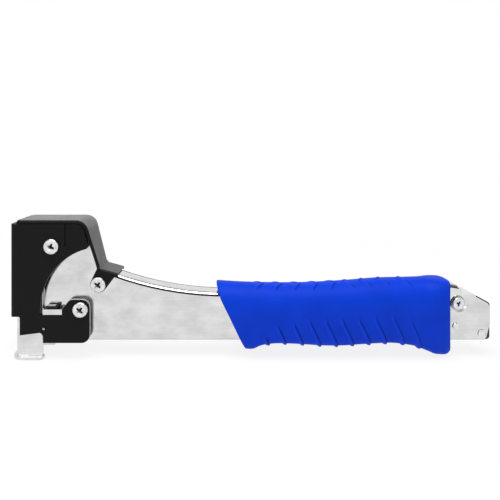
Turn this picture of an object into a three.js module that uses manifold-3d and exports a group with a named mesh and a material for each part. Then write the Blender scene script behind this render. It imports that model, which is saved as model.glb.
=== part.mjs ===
// Hammer tacker: a staple gun that fires when its head is struck on the work.
// Millimetres, +Z up. X runs from the head's front face to the end of the handle, Y is
// across, and Z is counted from the underside of the nose's foot.
import * as THREE from "three";
import { mergeVertices } from "three/addons/utils/BufferGeometryUtils.js";
import Module from "manifold-3d";

const wasm = await Module();
wasm.setup();

// ---- clearances ----
const fit = 0.3; // between pieces that touch, and around a shank in its hole
const runFit = 0.5; // around pieces that slide or swing

// ---- hood ----
const hoodWall = 1.3;
const hoodTop = 86.8;
const hoodFront = 2.3;
const hoodLipBottom = hoodTop - 4.5;
const hoodBend = 1.5;
const hoodCorner = 8;
const hoodFlange = 2.05;
const hoodRearFlange = 1.8;
const hoodTailWidth = 19.8;
const hoodTail = [66.2, 52.9]; // end of the tab
const hoodKnee = [55.2, 55.9]; // slope meets tab
const hoodShoulder = [46.5, hoodTop]; // top meets slope
const hoodEarRadius = 5.2;
const hoodEarStart = 147; // the ear's round edge, from here to there in degrees
const hoodEarEnd = 322;
const flangeStart = 5.5; // the lip in front of this hangs inside the head
const taperTop = 84; // below this height the flanks draw in towards the tail

// ---- handle ----
const handleLength = 300.5; // head's front face to the handle's rear edge; the rear end is placed from it
const handleWidth = 16.6;
const handleWall = 1.5;
const handleBottom = 9.8;
const handleBend = 3.2;
const saddleX = 134; // lowest point of the top edge
const saddleZ = 38.65;
const saddleFrontRadius = 208;
const crestZ = 44.04; // height where the top edge starts to round over at the rear
const crestInset = 32.5; // that point, in front of the rear end
const rearSlant = THREE.MathUtils.degToRad(28.6);
const rearTopZ = 33.9;
const rearTopRadius = 30;
const cornerHeight = 11; // slanted corner between the rear edge and the bottom
const cornerRun = 3;
const plateFront = 16.5; // front edge of the handle plates, inside the head
const plateTop = hoodTop - 6.8;
const plateStepX = 32; // in front of this the plates end above the magazine
const plateStepZ = 30.8;
const bridgeFront = handleLength - 17.9; // folded bridge over the rear end
const bridgeLength = 9.2;
const bridgeDrop = 3.2; // its front edge lies this much under the top edge of the plates

// ---- top channel of the handle ----
const topWall = 1.2;
const topDepth = 8;
const topRise = 0.9; // stands above the edges of the plates
const topGap = 0.8; // between its rear end and the bridge
const topBend = 2.4;
const topFront = 62.5;

// ---- head ----
const headWidth = 25.4;
const headWall = 2;
const headTop = hoodTop - hoodFlange - fit;
const headBend = 2.2;
const frontWallBottom = 26.8;
const notchDepth = 6;
const cheekBottom = 15.3;
const earBottom = 10.6;
const earFront = 20.4;
const earRear = 49.4;
const earStep = 32.5; // front edge of the ear beside the stop bar
const earTop = 37.5;
const windowBottom = 27.4;
const archX = 57.1; // centre of the quarter-round cut-out
const archZ = 31.6;
const archRadius = 38.6;
const windowFront = archX - archRadius;
const slitX = 34.1;
const slitBottom = archZ + archRadius; // level with the highest point of the cut-out
const wingBottom = slitBottom - 0.8; // lower rear corner of the wings

// ---- fasteners ----
const upperScrewAt = [25.9, hoodTop - 16.2];
const lowerScrewAt = [43.8, 31.5];
const tabScrewAt = [54.15, 46.2];
const rearScrewAt = [handleLength - 19.7, 33.6];
const screwShank = 2.45; // radius of an M5 thread
const screwHead = 4.75;
const screwHeadHeight = 2.5;
const nutFlats = 8;
const nutHeight = 2.7;
const sleeveRadius = 3.3;
const pivotSleeveRadius = 4;
const washerRadius = 4.2;
const rearScrewHead = 3.7;
const rearScrewHeadHeight = 1.3;
const rearScrewShank = 1.95;
const rearNutFlats = 7;
const rearNutHeight = 2.2;
const dimpleRadius = 5.5;
const dimpleDepth = 0.9;
const guidePinAt = [21, 19.4];
const guidePinRadius = 1.25;
const guidePinProud = 0.4;
const frontRivetAt = [handleLength - 21.5, 19.4];
const frontRivetHead = 2.1;
const rearRivetAt = [handleLength - 5.1, 14.8];
const rearRivetHead = 2.45;
const rivetShank = 1.2;
const rivetProud = 0.9;

// ---- nose shoe ----
const noseFront = 2.9;
const noseRear = 19.4;
const noseWall = 1.6;
const noseTop = 58;
const noseBend = 1.6;
const footThickness = 2;
const footRear = 20.2;
const footCorner = 7;
const barFront = 20.2; // stop bar that stands out through the window
const barRear = 32.2;
const barBottom = 28;
const barTop = 31.5;
const bumperFront = 22.3;
const bumperRear = 29.3;
const bumperHeight = 1.6;

// ---- firing linkage ----
const lifterWall = 1.8;
const lifterEye = 3.5; // half size of the flat round each pin
const lifterKnee = [18, 3.8]; // bends of the arm, from the nose pin
const lifterElbow = [16.6, 10.6];
const nosePinAt = [12, 38];
const nosePinRadius = 2;
const liftPinAt = [37.9, upperScrewAt[1] - 2.1];
const liftPinRadius = 1.5;
const leverWidth = 7;
const leverTip = 18.9; // pivot to the tip that drives the blade
const leverTipRadius = 2;
const leverForkEnd = 16.6;
const leverForkHeight = 6.8;
const leverRest = THREE.MathUtils.degToRad(9.9); // front arm stands this far above level
const bladeFront = 4.8;
const bladeWall = 1.2;
const bladeWidth = 10.4;
const bladeTip = 23.9;
const lowerJaw = 7.8; // reach of the two jaws behind the blade's front face
const upperJaw = 4.7;
const jawWall = 1.6;
const jawWidth = 7.4;

// ---- return spring ----
const springX = 47.3;
const springRadius = 3;
const springWire = 0.55;
const springTurns = 7.5;
const springFoot = 39.8;
const springLength = 23.7; // foot to the underside of its seat
const shelfWall = 2.5; // shelf of the lifter under the spring
const seatHeight = 1.5;
const seatLength = 7;

// ---- magazine ----
const magazineFront = 6.3;
const magazineRear = handleLength - 3.5;
const magazineWall = 1;
const magazineTop = 24;
const coreGap = 1.15; // room for the staple legs between the core and the channel
const coreTop = 22.6;
const coreFront = 8;
const coreRear = handleLength - 12.5;
const pusherFront = 20.6;
const pusherLength = 14;
const rodZ = 25.3;
const rodRadius = 1.2;
const rodFront = 12;
const coilRadius = 2.2;
const drawerFront = handleLength - 11.5;
const drawerRear = handleLength - 0.2;
const drawerTop = 29.5;
const drawerFoot = 4; // length of the foot that closes the notch in both floors
const footInset = 1.7; // foot narrower than the drawer end, each side

// ---- grip ----
const gripWidth = 28;
const gripRear = handleLength - 23;
const gripBow = 5.4; // how far the rear end's flanks lie in front of its middle
// Side outlines of the grip, as distance in front of its rear end and height.
const gripTopLine = [
  [158, 45.9], [149.9, 45.4], [136, 44.5], [121, 43.95], [99, 43.75], [63, 45.45], [45, 47], [27, 47.5], [12, 47.9],
  [0, 47.6],
];
const gripBottomLine = [
  [158, 4.2], [130.7, 4.1], [126, 4.2], [122, 6], [113.1, 7.5], [101.7, 7.4], [91.6, 6.8], [81.5, 6.2], [70.2, 6.2],
  [60.1, 6.85], [48.7, 7.55], [38.6, 7.85], [28.5, 6.7], [23.5, 5.7], [18.4, 3.8], [14.6, 2.4], [10.8, 0.9], [7, 0.5],
  [0, 0.5],
];
const gripFrontLine = [[130.3, 3], [136.1, 15.5], [141.2, 26.7], [146.7, 37.8], [149.9, 47]];
const gripUpperSquare = 2.5; // how boxy the upper and the lower half of its section are
const gripLowerSquare = 3.6;

// ---- worked out from the sizes above ----
const handleHalf = handleWidth / 2;
const handleInner = handleHalf - handleWall;
const handleFloor = handleBottom + handleWall;
const headHalf = headWidth / 2;
const headInner = headHalf - headWall;
const topHalf = handleInner - fit;
const noseHalf = headInner - fit;
const noseInner = noseHalf - noseWall;
const sleeveHalf = handleInner - fit;
const washerInner = handleHalf + fit;
const washerOuter = headInner - fit;
const magazineHalf = handleInner - fit - 0.05;
const magazineBottom = handleFloor + fit;
const hoodEarInner = handleHalf + fit;
const coreWidth = 2 * (magazineHalf - magazineWall - coreGap);
const drawerWidth = 2 * (magazineHalf - magazineWall - fit - 0.05);
const footWidth = drawerWidth - 2 * footInset;
const lifterOuter = handleInner - runFit - 0.1; // half width over the two arms
const seatBottom = springFoot + springLength;
const bumperOuter = headHalf - 0.1;
const drawerFloor = magazineBottom + magazineWall + fit;

// ---------------------------------------------------------------- shape helpers

// A closed three.js geometry as a solid, faces turned outwards.
function solid(geometry) {
  const bare = geometry.index ? geometry.toNonIndexed() : geometry.clone();
  bare.deleteAttribute("normal");
  bare.deleteAttribute("uv");
  const merged = mergeVertices(bare, 1e-4);
  const build = (triVerts) => new wasm.Manifold(new wasm.Mesh({
    numProp: 3,
    vertProperties: new Float32Array(merged.attributes.position.array),
    triVerts,
  }));
  const faces = new Uint32Array(merged.index.array);
  const made = build(faces);
  return made.volume() < 0 ? build(faces.map((_, i) => faces[i - (i % 3) + 2 - (i % 3)])) : made;
}

function geometryOf(body) {
  const mesh = body.getMesh();
  const geometry = new THREE.BufferGeometry();
  geometry.setAttribute("position", new THREE.BufferAttribute(mesh.vertProperties, 3));
  geometry.setIndex(new THREE.BufferAttribute(mesh.triVerts, 1));
  geometry.computeVertexNormals();
  return geometry;
}

// A polygon from corners [a, b, radius]; a corner without a radius stays sharp.
function outline(corners, arcStep = 20) {
  const points = [];
  corners.forEach(([a, b, radius = 0], i) => {
    const here = new THREE.Vector2(a, b);
    if (!radius) {
      points.push(here);
      return;
    }
    const before = corners[(i + corners.length - 1) % corners.length];
    const after = corners[(i + 1) % corners.length];
    const toBefore = new THREE.Vector2(before[0], before[1]).sub(here).normalize();
    const toAfter = new THREE.Vector2(after[0], after[1]).sub(here).normalize();
    const half = Math.acos(THREE.MathUtils.clamp(toBefore.dot(toAfter), -1, 1)) / 2;
    const inwards = toBefore.clone().add(toAfter).normalize();
    const centre = inwards.multiplyScalar(radius / Math.sin(half)).add(here);
    const start = toBefore.multiplyScalar(radius / Math.tan(half)).add(here).sub(centre);
    const turn = Math.PI - 2 * half;
    const side = Math.sign(start.cross(here.clone().sub(centre)));
    const steps = Math.max(2, Math.ceil(THREE.MathUtils.radToDeg(turn) / arcStep));
    for (let k = 0; k <= steps; k++) {
      points.push(start.clone().rotateAround(new THREE.Vector2(), (side * turn * k) / steps).add(centre));
    }
  });
  return points;
}

// Points of an arc about [a, b], from one angle to another, in degrees.
function arc([a, b], radius, from, to, steps) {
  return Array.from({ length: steps + 1 }, (_, i) => {
    const angle = THREE.MathUtils.degToRad(from + ((to - from) * i) / steps);
    return new THREE.Vector2(a + radius * Math.cos(angle), b + radius * Math.sin(angle));
  });
}

const extruded = (points, depth) =>
  new THREE.ExtrudeGeometry(new THREE.Shape(points), { depth, bevelEnabled: false, steps: 1 });

// Side view (x, z) made solid from y = low to y = high.
function plateY(points, low, high) {
  return solid(extruded(points, high - low).rotateX(Math.PI / 2).translate(0, high, 0));
}

// Front view (y, z) made solid from x = low to x = high.
function barX(points, low, high) {
  const turned = new THREE.Matrix4().makeBasis(
    new THREE.Vector3(0, 1, 0), new THREE.Vector3(0, 0, 1), new THREE.Vector3(1, 0, 0),
  );
  return solid(extruded(points, high - low).applyMatrix4(turned).translate(low, 0, 0));
}

// Plan view (x, y) made solid from z = low to z = high.
const postZ = (points, low, high) => solid(extruded(points, high - low).translate(0, 0, low));

function block([x0, x1], [y0, y1], [z0, z1]) {
  const size = new THREE.BoxGeometry(x1 - x0, y1 - y0, z1 - z0);
  return solid(size.translate((x0 + x1) / 2, (y0 + y1) / 2, (z0 + z1) / 2));
}

// Round bar along Y at [x, z].
function pin([x, z], radius, low, high, sides = 20) {
  const round = new THREE.CylinderGeometry(radius, radius, high - low, sides);
  return solid(round.translate(x, (low + high) / 2, z));
}

// Round bar along X or Z.
function rodX(z, radius, low, high, sides = 16) {
  return solid(new THREE.CylinderGeometry(radius, radius, high - low, sides)
    .rotateZ(Math.PI / 2).translate((low + high) / 2, 0, z));
}

// Body of revolution about the Y axis through [x, z], from [radius, y] points.
function turned([x, z], profile, sides = 24) {
  const points = profile.map(([radius, y]) => new THREE.Vector2(radius, y));
  return solid(new THREE.LatheGeometry(points, sides).translate(x, 0, z));
}

const mirroredY = (body) => body.mirror([0, 1, 0]);
const join = (...bodies) => bodies.reduce((a, b) => a.add(b));
const bothSides = (body) => body.add(mirroredY(body));

// Skin over rings of points with a cap at each end; caps are cut from each end's flat section.
function loft(rings, sections) {
  const count = rings[0].length;
  const points = rings.flat();
  const faces = [];
  for (let i = 0; i + 1 < rings.length; i++) {
    for (let k = 0; k < count; k++) {
      const [a, b] = [i * count + k, i * count + ((k + 1) % count)];
      faces.push(a, b, b + count, a, b + count, a + count);
    }
  }
  const cap = (section, base, outward) => {
    const sign = Math.sign(THREE.ShapeUtils.area(section));
    for (const [a, b, c] of THREE.ShapeUtils.triangulateShape(section, [])) {
      const inRingOrder = Math.sign(THREE.ShapeUtils.area([section[a], section[b], section[c]])) === sign;
      faces.push(base + a, ...(inRingOrder === outward ? [base + b, base + c] : [base + c, base + b]));
    }
  };
  cap(sections[0], 0, false);
  cap(sections[sections.length - 1], (rings.length - 1) * count, true);
  const geometry = new THREE.BufferGeometry();
  const positions = points.flatMap((p) => [p.x, p.y, p.z]);
  geometry.setAttribute("position", new THREE.Float32BufferAttribute(positions, 3));
  geometry.setIndex(faces);
  return solid(geometry);
}

// A section (y, n) carried along a side-view path; n stands along the path's outer normal.
function sweep(path, sectionAt) {
  const sections = path.map((_, i) => sectionAt(i, path));
  const rings = path.map((here, i) => {
    const before = path[Math.max(i - 1, 0)];
    const after = path[Math.min(i + 1, path.length - 1)];
    const inward = here.clone().sub(before).normalize();
    const outward = after.clone().sub(here).normalize();
    const between = i > 0 && i < path.length - 1;
    const along = between ? inward.clone().add(outward) : i === 0 ? outward.clone() : inward.clone();
    along.normalize();
    const stretch = i === 0 || i === path.length - 1 ? 1 : 1 / along.dot(outward);
    const normal = new THREE.Vector2(-along.y, along.x).multiplyScalar(stretch);
    return sections[i].map((s) => new THREE.Vector3(here.x + normal.x * s.y, s.x, here.y + normal.y * s.y));
  });
  return loft(rings, sections);
}

// Upside-down channel section: half width, flange depth, wall and outer bend radius.
function channelSection(half, depth, wall, bend) {
  const inner = Math.max(bend - wall, 0.3);
  const rightOuter = arc([half - bend, -bend], bend, 0, 90, 4);
  const rightInner = arc([half - wall - inner, -wall - inner], inner, 90, 0, 2);
  const flip = (points) => points.map((p) => new THREE.Vector2(-p.x, p.y)).reverse();
  return [
    new THREE.Vector2(half, -depth), ...rightOuter, ...flip(rightOuter), new THREE.Vector2(-half, -depth),
    new THREE.Vector2(wall - half, -depth), ...flip(rightInner), ...rightInner,
    new THREE.Vector2(half - wall, -depth),
  ];
}

// Notch at the rear of the handle's and the magazine's floors, for the foot of the drawer's end.
function footNotch() {
  const half = footWidth / 2 + runFit;
  return block([drawerRear - drawerFoot - runFit, handleLength + 1], [-half, half], [0, drawerFloor - 0.05]);
}

// ---------------------------------------------------------------- handle

const crestRun = handleLength - crestInset - saddleX;
const saddleRearRadius = (crestRun ** 2 + (crestZ - saddleZ) ** 2) / (2 * (crestZ - saddleZ));

function saddle(x) {
  const radius = x < saddleX ? saddleFrontRadius : saddleRearRadius;
  return saddleZ + radius - Math.sqrt(radius ** 2 - (x - saddleX) ** 2);
}

// Top edge of the handle from the tab to the rear end, raised by a given amount.
function handleTopEdge(front, rear, raise) {
  const slopeStart = handleLength - crestInset;
  const lift = Math.tan(Math.asin((slopeStart - saddleX) / saddleRearRadius));
  const fall = Math.tan(rearSlant);
  const startZ = saddle(slopeStart);
  const cornerX = (rearTopZ + fall * handleLength - startZ + lift * slopeStart) / (lift + fall);
  const corner = [cornerX, startZ + lift * (cornerX - slopeStart), rearTopRadius];
  const rearEnd = [handleLength, rearTopZ];
  const crest = outline([[slopeStart, startZ], corner, rearEnd], 5);
  const steps = [];
  for (let x = front; x < slopeStart - 4; x += x < saddleX ? 8 : 24) {
    steps.push(new THREE.Vector2(x, saddle(x)));
  }
  const edge = [...steps, ...crest];
  const heightAt = (x) => {
    const i = Math.max(1, edge.findIndex((p) => p.x >= x));
    const [a, b] = [edge[i - 1], edge[i]];
    return a.y + ((b.y - a.y) * (x - a.x)) / (b.x - a.x);
  };
  const between = edge.filter((p) => p.x > front + 0.5 && p.x < rear - 0.5);
  return [new THREE.Vector2(front, heightAt(front)), ...between, new THREE.Vector2(rear, heightAt(rear))]
    .map((p) => new THREE.Vector2(p.x, p.y + raise));
}

const slopeRun = (hoodKnee[0] - hoodShoulder[0]) / (hoodShoulder[1] - hoodKnee[1]); // x gained per z lost
const slopeX = (z) => hoodShoulder[0] + slopeRun * (hoodTop - z);

function handleOutline() {
  const inset = (hoodWall + fit) * Math.hypot(1, slopeRun) + 0.2;
  const kneeZ = hoodKnee[1] - 2.3;
  const front = outline([
    [plateStepX, handleBottom], [plateStepX, plateStepZ], [plateFront, plateStepZ, 1], [plateFront, plateTop, 3],
    [slopeX(plateTop) - inset, plateTop, 3], [slopeX(kneeZ) - inset, kneeZ],
  ]);
  const topRear = handleLength - 2.6;
  const top = [
    ...handleTopEdge(hoodKnee[0] + 0.5, bridgeFront, 0), ...bridgeTop(),
    ...handleTopEdge(bridgeFront + bridgeLength, topRear, 0).slice(1),
  ];
  const rear = outline([
    [topRear, rearTopZ + (handleLength - topRear) * Math.tan(rearSlant)], [handleLength, rearTopZ, 3],
    [handleLength, handleBottom + cornerHeight, 6], [handleLength - cornerRun, handleBottom, 2.2],
    [handleLength - 20, handleBottom],
  ]).slice(1);
  return [...front, ...top, ...rear];
}

const channelFront = (half, floor, bend, top) =>
  outline([[-half, top], [-half, floor, bend], [half, floor, bend], [half, top]], 22.5);

function dimple(side) {
  const [x, z] = rearScrewAt;
  const face = side * handleHalf;
  const at = (depth) => face - side * depth;
  return turned([x, z], [
    [0, at(-1)], [dimpleRadius, at(-1)], [dimpleRadius, at(0)],
    [rearScrewHead + 0.4, at(dimpleDepth)], [0, at(dimpleDepth)],
  ]);
}

// The bridge's upper line, which steps down from the plates at the front and meets them at the rear.
function bridgeTop() {
  const ends = handleTopEdge(bridgeFront, bridgeFront + bridgeLength, 0);
  const front = ends[0].clone().add(new THREE.Vector2(0.4, -bridgeDrop));
  return [front, ends[ends.length - 1]];
}

function handleChannel() {
  const above = hoodTop + 10;
  const shell = plateY(handleOutline(), -handleHalf, handleHalf)
    .intersect(barX(channelFront(handleHalf, handleBottom, handleBend, above), 0, handleLength + 5))
    .subtract(barX(channelFront(handleInner, handleFloor, handleBend - handleWall, above), 0, handleLength + 5));
  const over = bridgeTop();
  const under = over.map((p) => new THREE.Vector2(p.x, p.y - handleWall)).reverse();
  const bridge = plateY([...over, ...under], -handleHalf, handleHalf);
  const cuts = join(
    ...[upperScrewAt, lowerScrewAt, tabScrewAt].map((at) => pin(at, screwShank + fit, -handleWidth, handleWidth)),
    pin(rearScrewAt, rearScrewShank + fit, -handleWidth, handleWidth),
    ...[frontRivetAt, rearRivetAt].map((at) => pin(at, rivetShank + fit, -handleWidth, handleWidth, 16)),
    bothSides(dimple(1)),
    footNotch(),
  );
  return join(shell, bridge).subtract(cuts);
}

function handleTopChannel() {
  const path = handleTopEdge(topFront, bridgeFront - topGap, topRise);
  const section = channelSection(topHalf, topDepth, topWall, topBend);
  return sweep(path, () => section).subtract(pin(rearScrewAt, rearScrewHead + fit, -handleWidth, handleWidth));
}

// ---------------------------------------------------------------- head

// Edge of the quarter-round cut-out, from its foot at the window to its tip under the hood.
function archEdge() {
  const foot = THREE.MathUtils.radToDeg(Math.acos((windowFront - archX) / archRadius));
  const tip = THREE.MathUtils.radToDeg(Math.acos((wingX(wingBottom) - 2.6 - archX) / archRadius));
  return arc([archX, archZ], archRadius, foot, tip, 24);
}

// Rear edge of the wings under the hood's flanks.
const wingX = (z) => slopeX(z) - (hoodFlange + fit + 0.05) * Math.hypot(1, slopeRun);

function headOutline() {
  const front = outline([
    [0, headTop], [0, frontWallBottom], [notchDepth, frontWallBottom, 0.8], [notchDepth, cheekBottom],
    [18.6, 16.9], [19.7, 16], [earFront, 14.6], [earFront, earBottom],
    [earRear, earBottom, 5], [earRear, earTop, 5], [36.4, earTop, 5], [earStep, 30.6, 2.5],
    [earStep, windowBottom], [windowFront, windowBottom, 0.4],
  ], 10);
  const arch = archEdge();
  const tip = arch[arch.length - 1];
  const wingCorner = Math.min(hoodCorner - hoodFlange, headTop - wingBottom - 4);
  const rear = outline([
    [tip.x, tip.y], [wingX(wingBottom), wingBottom, 2.2], [wingX(headTop), headTop, wingCorner], [slitX + 4, headTop],
  ], 10).slice(1);
  return [...front, ...arch, ...rear];
}

function headChannel() {
  const plan = (inset, front, rear, bend) => outline([
    [front, -headHalf + inset, bend], [rear, -headHalf + inset], [rear, headHalf - inset], [front, headHalf - inset, bend],
  ], 22.5);
  const slit = block([slitX - 0.25, slitX + 0.25], [-headWidth, headWidth], [slitBottom, headTop + 1]);
  return plateY(headOutline(), -headHalf, headHalf)
    .intersect(postZ(plan(0, 0, 60, headBend), 0, hoodTop))
    .subtract(postZ(plan(headWall, headWall, 70, headBend - headWall), -1, hoodTop + 1))
    .subtract(slit)
    .subtract(pin(upperScrewAt, screwShank + fit, -headWidth, headWidth))
    .subtract(pin(lowerScrewAt, screwShank + fit, -headWidth, headWidth))
    .subtract(pin(guidePinAt, guidePinRadius + fit, -headWidth, headWidth, 16));
}

// ---------------------------------------------------------------- hood

function hood() {
  const path = outline([
    [hoodFront, hoodLipBottom], [hoodFront, hoodTop, 2.4], [hoodShoulder[0], hoodTop, hoodCorner],
    [...hoodKnee, 1.6], hoodTail,
  ], 8);
  const lip = [new THREE.Vector2(flangeStart - 0.6, hoodTop), new THREE.Vector2(flangeStart, hoodTop)];
  const lipEnd = path.findIndex((p) => p.x > flangeStart);
  const points = [...path.slice(0, lipEnd), ...lip, ...path.slice(lipEnd)];
  const sectionAt = (i) => {
    const { x, y: z } = points[i];
    if (x < flangeStart) return channelSection(washerOuter, hoodFlange, hoodWall, hoodBend);
    const share = THREE.MathUtils.clamp((taperTop - z) / (taperTop - hoodKnee[1]), 0, 1);
    const half = THREE.MathUtils.lerp(headHalf, hoodTailWidth / 2, share);
    const deep = THREE.MathUtils.clamp((hoodTop - z) / hoodCorner, 0, 1);
    return channelSection(half, THREE.MathUtils.lerp(hoodFlange, hoodRearFlange, deep), hoodWall, hoodBend);
  };
  const from = ([x, z], right, up) => new THREE.Vector2(x + right, z + up);
  const strap = [
    from(hoodKnee, -1.4, 1.4), ...arc(tabScrewAt, hoodEarRadius, hoodEarStart, hoodEarEnd, 14), from(hoodTail, -2.2, -2.4),
    from(hoodTail, 0, -1.8), from(hoodTail, 0, -1), from(hoodKnee, 1.2, -1.2), from(hoodKnee, -0.4, 0.8),
  ];
  const ear = plateY(strap, hoodEarInner, hoodTailWidth / 2)
    .subtract(pin(tabScrewAt, screwShank + fit, 0, headWidth));
  return join(sweep(points, sectionAt), bothSides(ear));
}

// ---------------------------------------------------------------- fasteners

// Cross-recessed pan-head screw with its head on the -Y side of a stack.
function panScrew(at, faceY, endY, shank, head, height) {
  const under = -faceY;
  const body = turned(at, [
    [0, endY], [shank, endY], [shank, under], [head, under], [head, under - height * 0.35],
    [head * 0.93, under - height * 0.7], [head * 0.72, under - height * 0.93], [0, under - height],
  ]);
  const arm = head * 0.55;
  const slot = height * 0.2;
  const [x, z] = at;
  const depth = [under - height - 1, under - height * 0.4];
  return body
    .subtract(block([x - arm, x + arm], depth, [z - slot, z + slot]))
    .subtract(block([x - slot, x + slot], depth, [z - arm, z + arm]));
}

function hexNut(at, faceY, flats, height, bore) {
  const nut = new THREE.CylinderGeometry(flats / Math.sqrt(3), flats / Math.sqrt(3), height, 6);
  return solid(nut.translate(at[0], faceY + height / 2, at[1]))
    .subtract(pin(at, bore, faceY - 1, faceY + height + 1));
}

const tube = (at, outer, bore, low, high) =>
  pin(at, outer, low, high).subtract(pin(at, bore, low - 1, high + 1));

function rivet(at, head) {
  return turned(at, [
    [0, magazineHalf - magazineWall + 0.1], [rivetShank, magazineHalf - magazineWall + 0.1],
    [rivetShank, handleHalf + fit], [head, handleHalf + fit], [head * 0.9, handleHalf + rivetProud * 0.75],
    [head * 0.5, handleHalf + rivetProud], [0, handleHalf + rivetProud],
  ], 20);
}

const guidePin = () => turned(guidePinAt, [
  [0, handleHalf + fit], [guidePinRadius, handleHalf + fit], [guidePinRadius, headHalf + guidePinProud * 0.4],
  [guidePinRadius * 0.6, headHalf + guidePinProud], [0, headHalf + guidePinProud],
], 16);

// ---------------------------------------------------------------- nose

function noseShoe() {
  const plan = (half, front, rear, bend) => outline([
    [front, -half, bend], [rear, -half], [rear, half], [front, half, bend],
  ], 22.5);
  const foot = outline([
    [0, -headHalf, footCorner], [footRear, -headHalf, 2], [footRear, headHalf, 2], [0, headHalf, footCorner],
  ], 22.5);
  const wall = postZ(plan(noseHalf, noseFront, noseRear, noseBend), 0, noseTop);
  const inside = postZ(plan(noseInner, noseFront + noseWall, noseRear + 5, 0.4), -1, noseTop + 1);
  const bar = block([noseRear - 3, barRear], [noseInner, noseHalf], [barBottom, barTop])
    .add(block([barFront, barRear], [noseHalf - 0.5, headHalf], [barBottom, barTop]));
  return join(wall, postZ(foot, 0, footThickness), bothSides(bar))
    .subtract(inside)
    .subtract(pin(nosePinAt, nosePinRadius + fit, -headWidth, headWidth));
}

const bumper = () => block(
  [bumperFront, bumperRear], [handleHalf + fit, bumperOuter], [barTop + fit, barTop + fit + bumperHeight],
);

// ---------------------------------------------------------------- firing linkage

function lifter() {
  const [frontX, frontZ] = nosePinAt;
  const [topX, topZ] = liftPinAt;
  const shelfTop = springFoot - fit;
  const shelfBottom = shelfTop - shelfWall;
  const shelfRear = springX + springRadius + 0.2;
  const arm = outline([
    [frontX - lifterEye, frontZ - lifterEye, 2], [frontX + lifterEye, frontZ - lifterEye, 1],
    [frontX + lifterKnee[0], frontZ + lifterKnee[1], 2],
    [topX + 0.7, shelfBottom, 1], [shelfRear, shelfBottom], [shelfRear, shelfTop], [topX + 1.7, shelfTop, 1],
    [topX - 1.7, shelfTop + 4, 3], [topX + lifterEye, topZ - 2.5, 2], [topX + lifterEye, topZ + 3.3, 3],
    [topX - lifterEye, topZ + 3.3, 3], [topX - lifterEye, topZ - 2.5, 2],
    [frontX + lifterElbow[0], frontZ + lifterElbow[1], 3],
    [frontX + 2, frontZ + lifterEye, 2], [frontX - lifterEye, frontZ + lifterEye, 2],
  ], 30);
  const arms = bothSides(plateY(arm, lifterOuter - lifterWall, lifterOuter));
  const shelf = block(
    [springX - springRadius - 0.4, shelfRear], [-lifterOuter, lifterOuter], [shelfBottom, shelfTop],
  );
  return join(arms, shelf)
    .subtract(pin(nosePinAt, nosePinRadius + fit, -handleWidth, handleWidth))
    .subtract(pin(liftPinAt, liftPinRadius + fit, -handleWidth, handleWidth));
}

// Drawn with its front arm level, pivot at the origin, then set to its rest angle.
function lever() {
  const forkSlot = liftPinRadius + runFit + 0.1;
  const pinReach = Math.hypot(liftPinAt[0] - upperScrewAt[0], liftPinAt[1] - upperScrewAt[1]);
  const forkRoot = pinReach - liftPinRadius - runFit;
  const waist = leverTipRadius - 0.5;
  const body = outline([
    [-leverTip - 1, -leverTipRadius, 1.6], [4 - leverTip, -leverTipRadius],
    [5 - leverTip, -waist], [-11, -waist, 1],
    [-6, -5.4, 3], [5, -5.6, 4], [9, -leverForkHeight / 2, 3],
    [leverForkEnd, -leverForkHeight / 2], [leverForkEnd, -forkSlot],
    [forkRoot, -forkSlot, 1.6], [forkRoot, forkSlot, 1.6],
    [leverForkEnd, forkSlot], [leverForkEnd, leverForkHeight / 2], [9, leverForkHeight / 2, 3], [5, 5.6, 4],
    [-6, 5.4, 3], [-11, waist, 1], [5 - leverTip, waist], [4 - leverTip, leverTipRadius],
    [-leverTip - 1, leverTipRadius, 1.6],
  ], 25);
  const turnedBody = plateY(body, -leverWidth / 2, leverWidth / 2)
    .subtract(pin([0, 0], pivotSleeveRadius + fit, -leverWidth, leverWidth, 32));
  return turnedBody.rotate([0, THREE.MathUtils.radToDeg(leverRest), 0])
    .translate([upperScrewAt[0], 0, upperScrewAt[1]]);
}

const leverTipZ = upperScrewAt[1] + leverTip * Math.sin(leverRest);
const jawBottom = leverTipZ - leverTipRadius - 0.7;
const jawTop = leverTipZ + leverTipRadius + 1.2;

function driverBlade() {
  const rear = bladeFront + bladeWall;
  const blade = block([bladeFront, rear], [-bladeWidth / 2, bladeWidth / 2], [bladeTip, jawTop + jawWall]);
  const jaw = (reach, low) =>
    block([rear - 0.5, bladeFront + reach], [-jawWidth / 2, jawWidth / 2], [low, low + jawWall]);
  return join(blade, jaw(lowerJaw, jawBottom - jawWall), jaw(upperJaw, jawTop));
}

function coil(turns, radius, wire, low, high, perTurn = 12, sides = 6) {
  const section = arc([0, 0], wire, 0, 360, sides).slice(0, sides);
  const count = Math.round(turns * perTurn);
  const rings = Array.from({ length: count + 1 }, (_, i) => {
    const angle = (2 * Math.PI * i) / perTurn;
    const z = THREE.MathUtils.lerp(low + wire, high - wire, i / count);
    return section.map((s) => new THREE.Vector3(
      (radius - wire + s.x) * Math.cos(angle), (radius - wire + s.x) * Math.sin(angle), z + s.y,
    ));
  });
  return loft(rings, [section, section]);
}

// ---------------------------------------------------------------- magazine

function magazineChannel() {
  const bend = handleBend - handleWall;
  return barX(channelFront(magazineHalf, magazineBottom, bend, magazineTop), magazineFront, magazineRear)
    .subtract(barX(
      channelFront(magazineHalf - magazineWall, magazineBottom + magazineWall, bend - magazineWall, magazineTop + 5),
      magazineFront - 5, magazineRear + 5,
    ))
    .subtract(pin(frontRivetAt, rivetShank + fit, -handleWidth, handleWidth, 16))
    .subtract(pin(rearRivetAt, rivetShank + fit, -handleWidth, handleWidth, 16))
    .subtract(footNotch());
}

function magazineCore() {
  const section = outline([
    [-coreWidth / 2, drawerFloor, 0.6], [coreWidth / 2, drawerFloor, 0.6],
    [coreWidth / 2, coreTop, 0.8], [-coreWidth / 2, coreTop, 0.8],
  ], 45);
  return barX(section, coreFront, coreRear);
}

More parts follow.
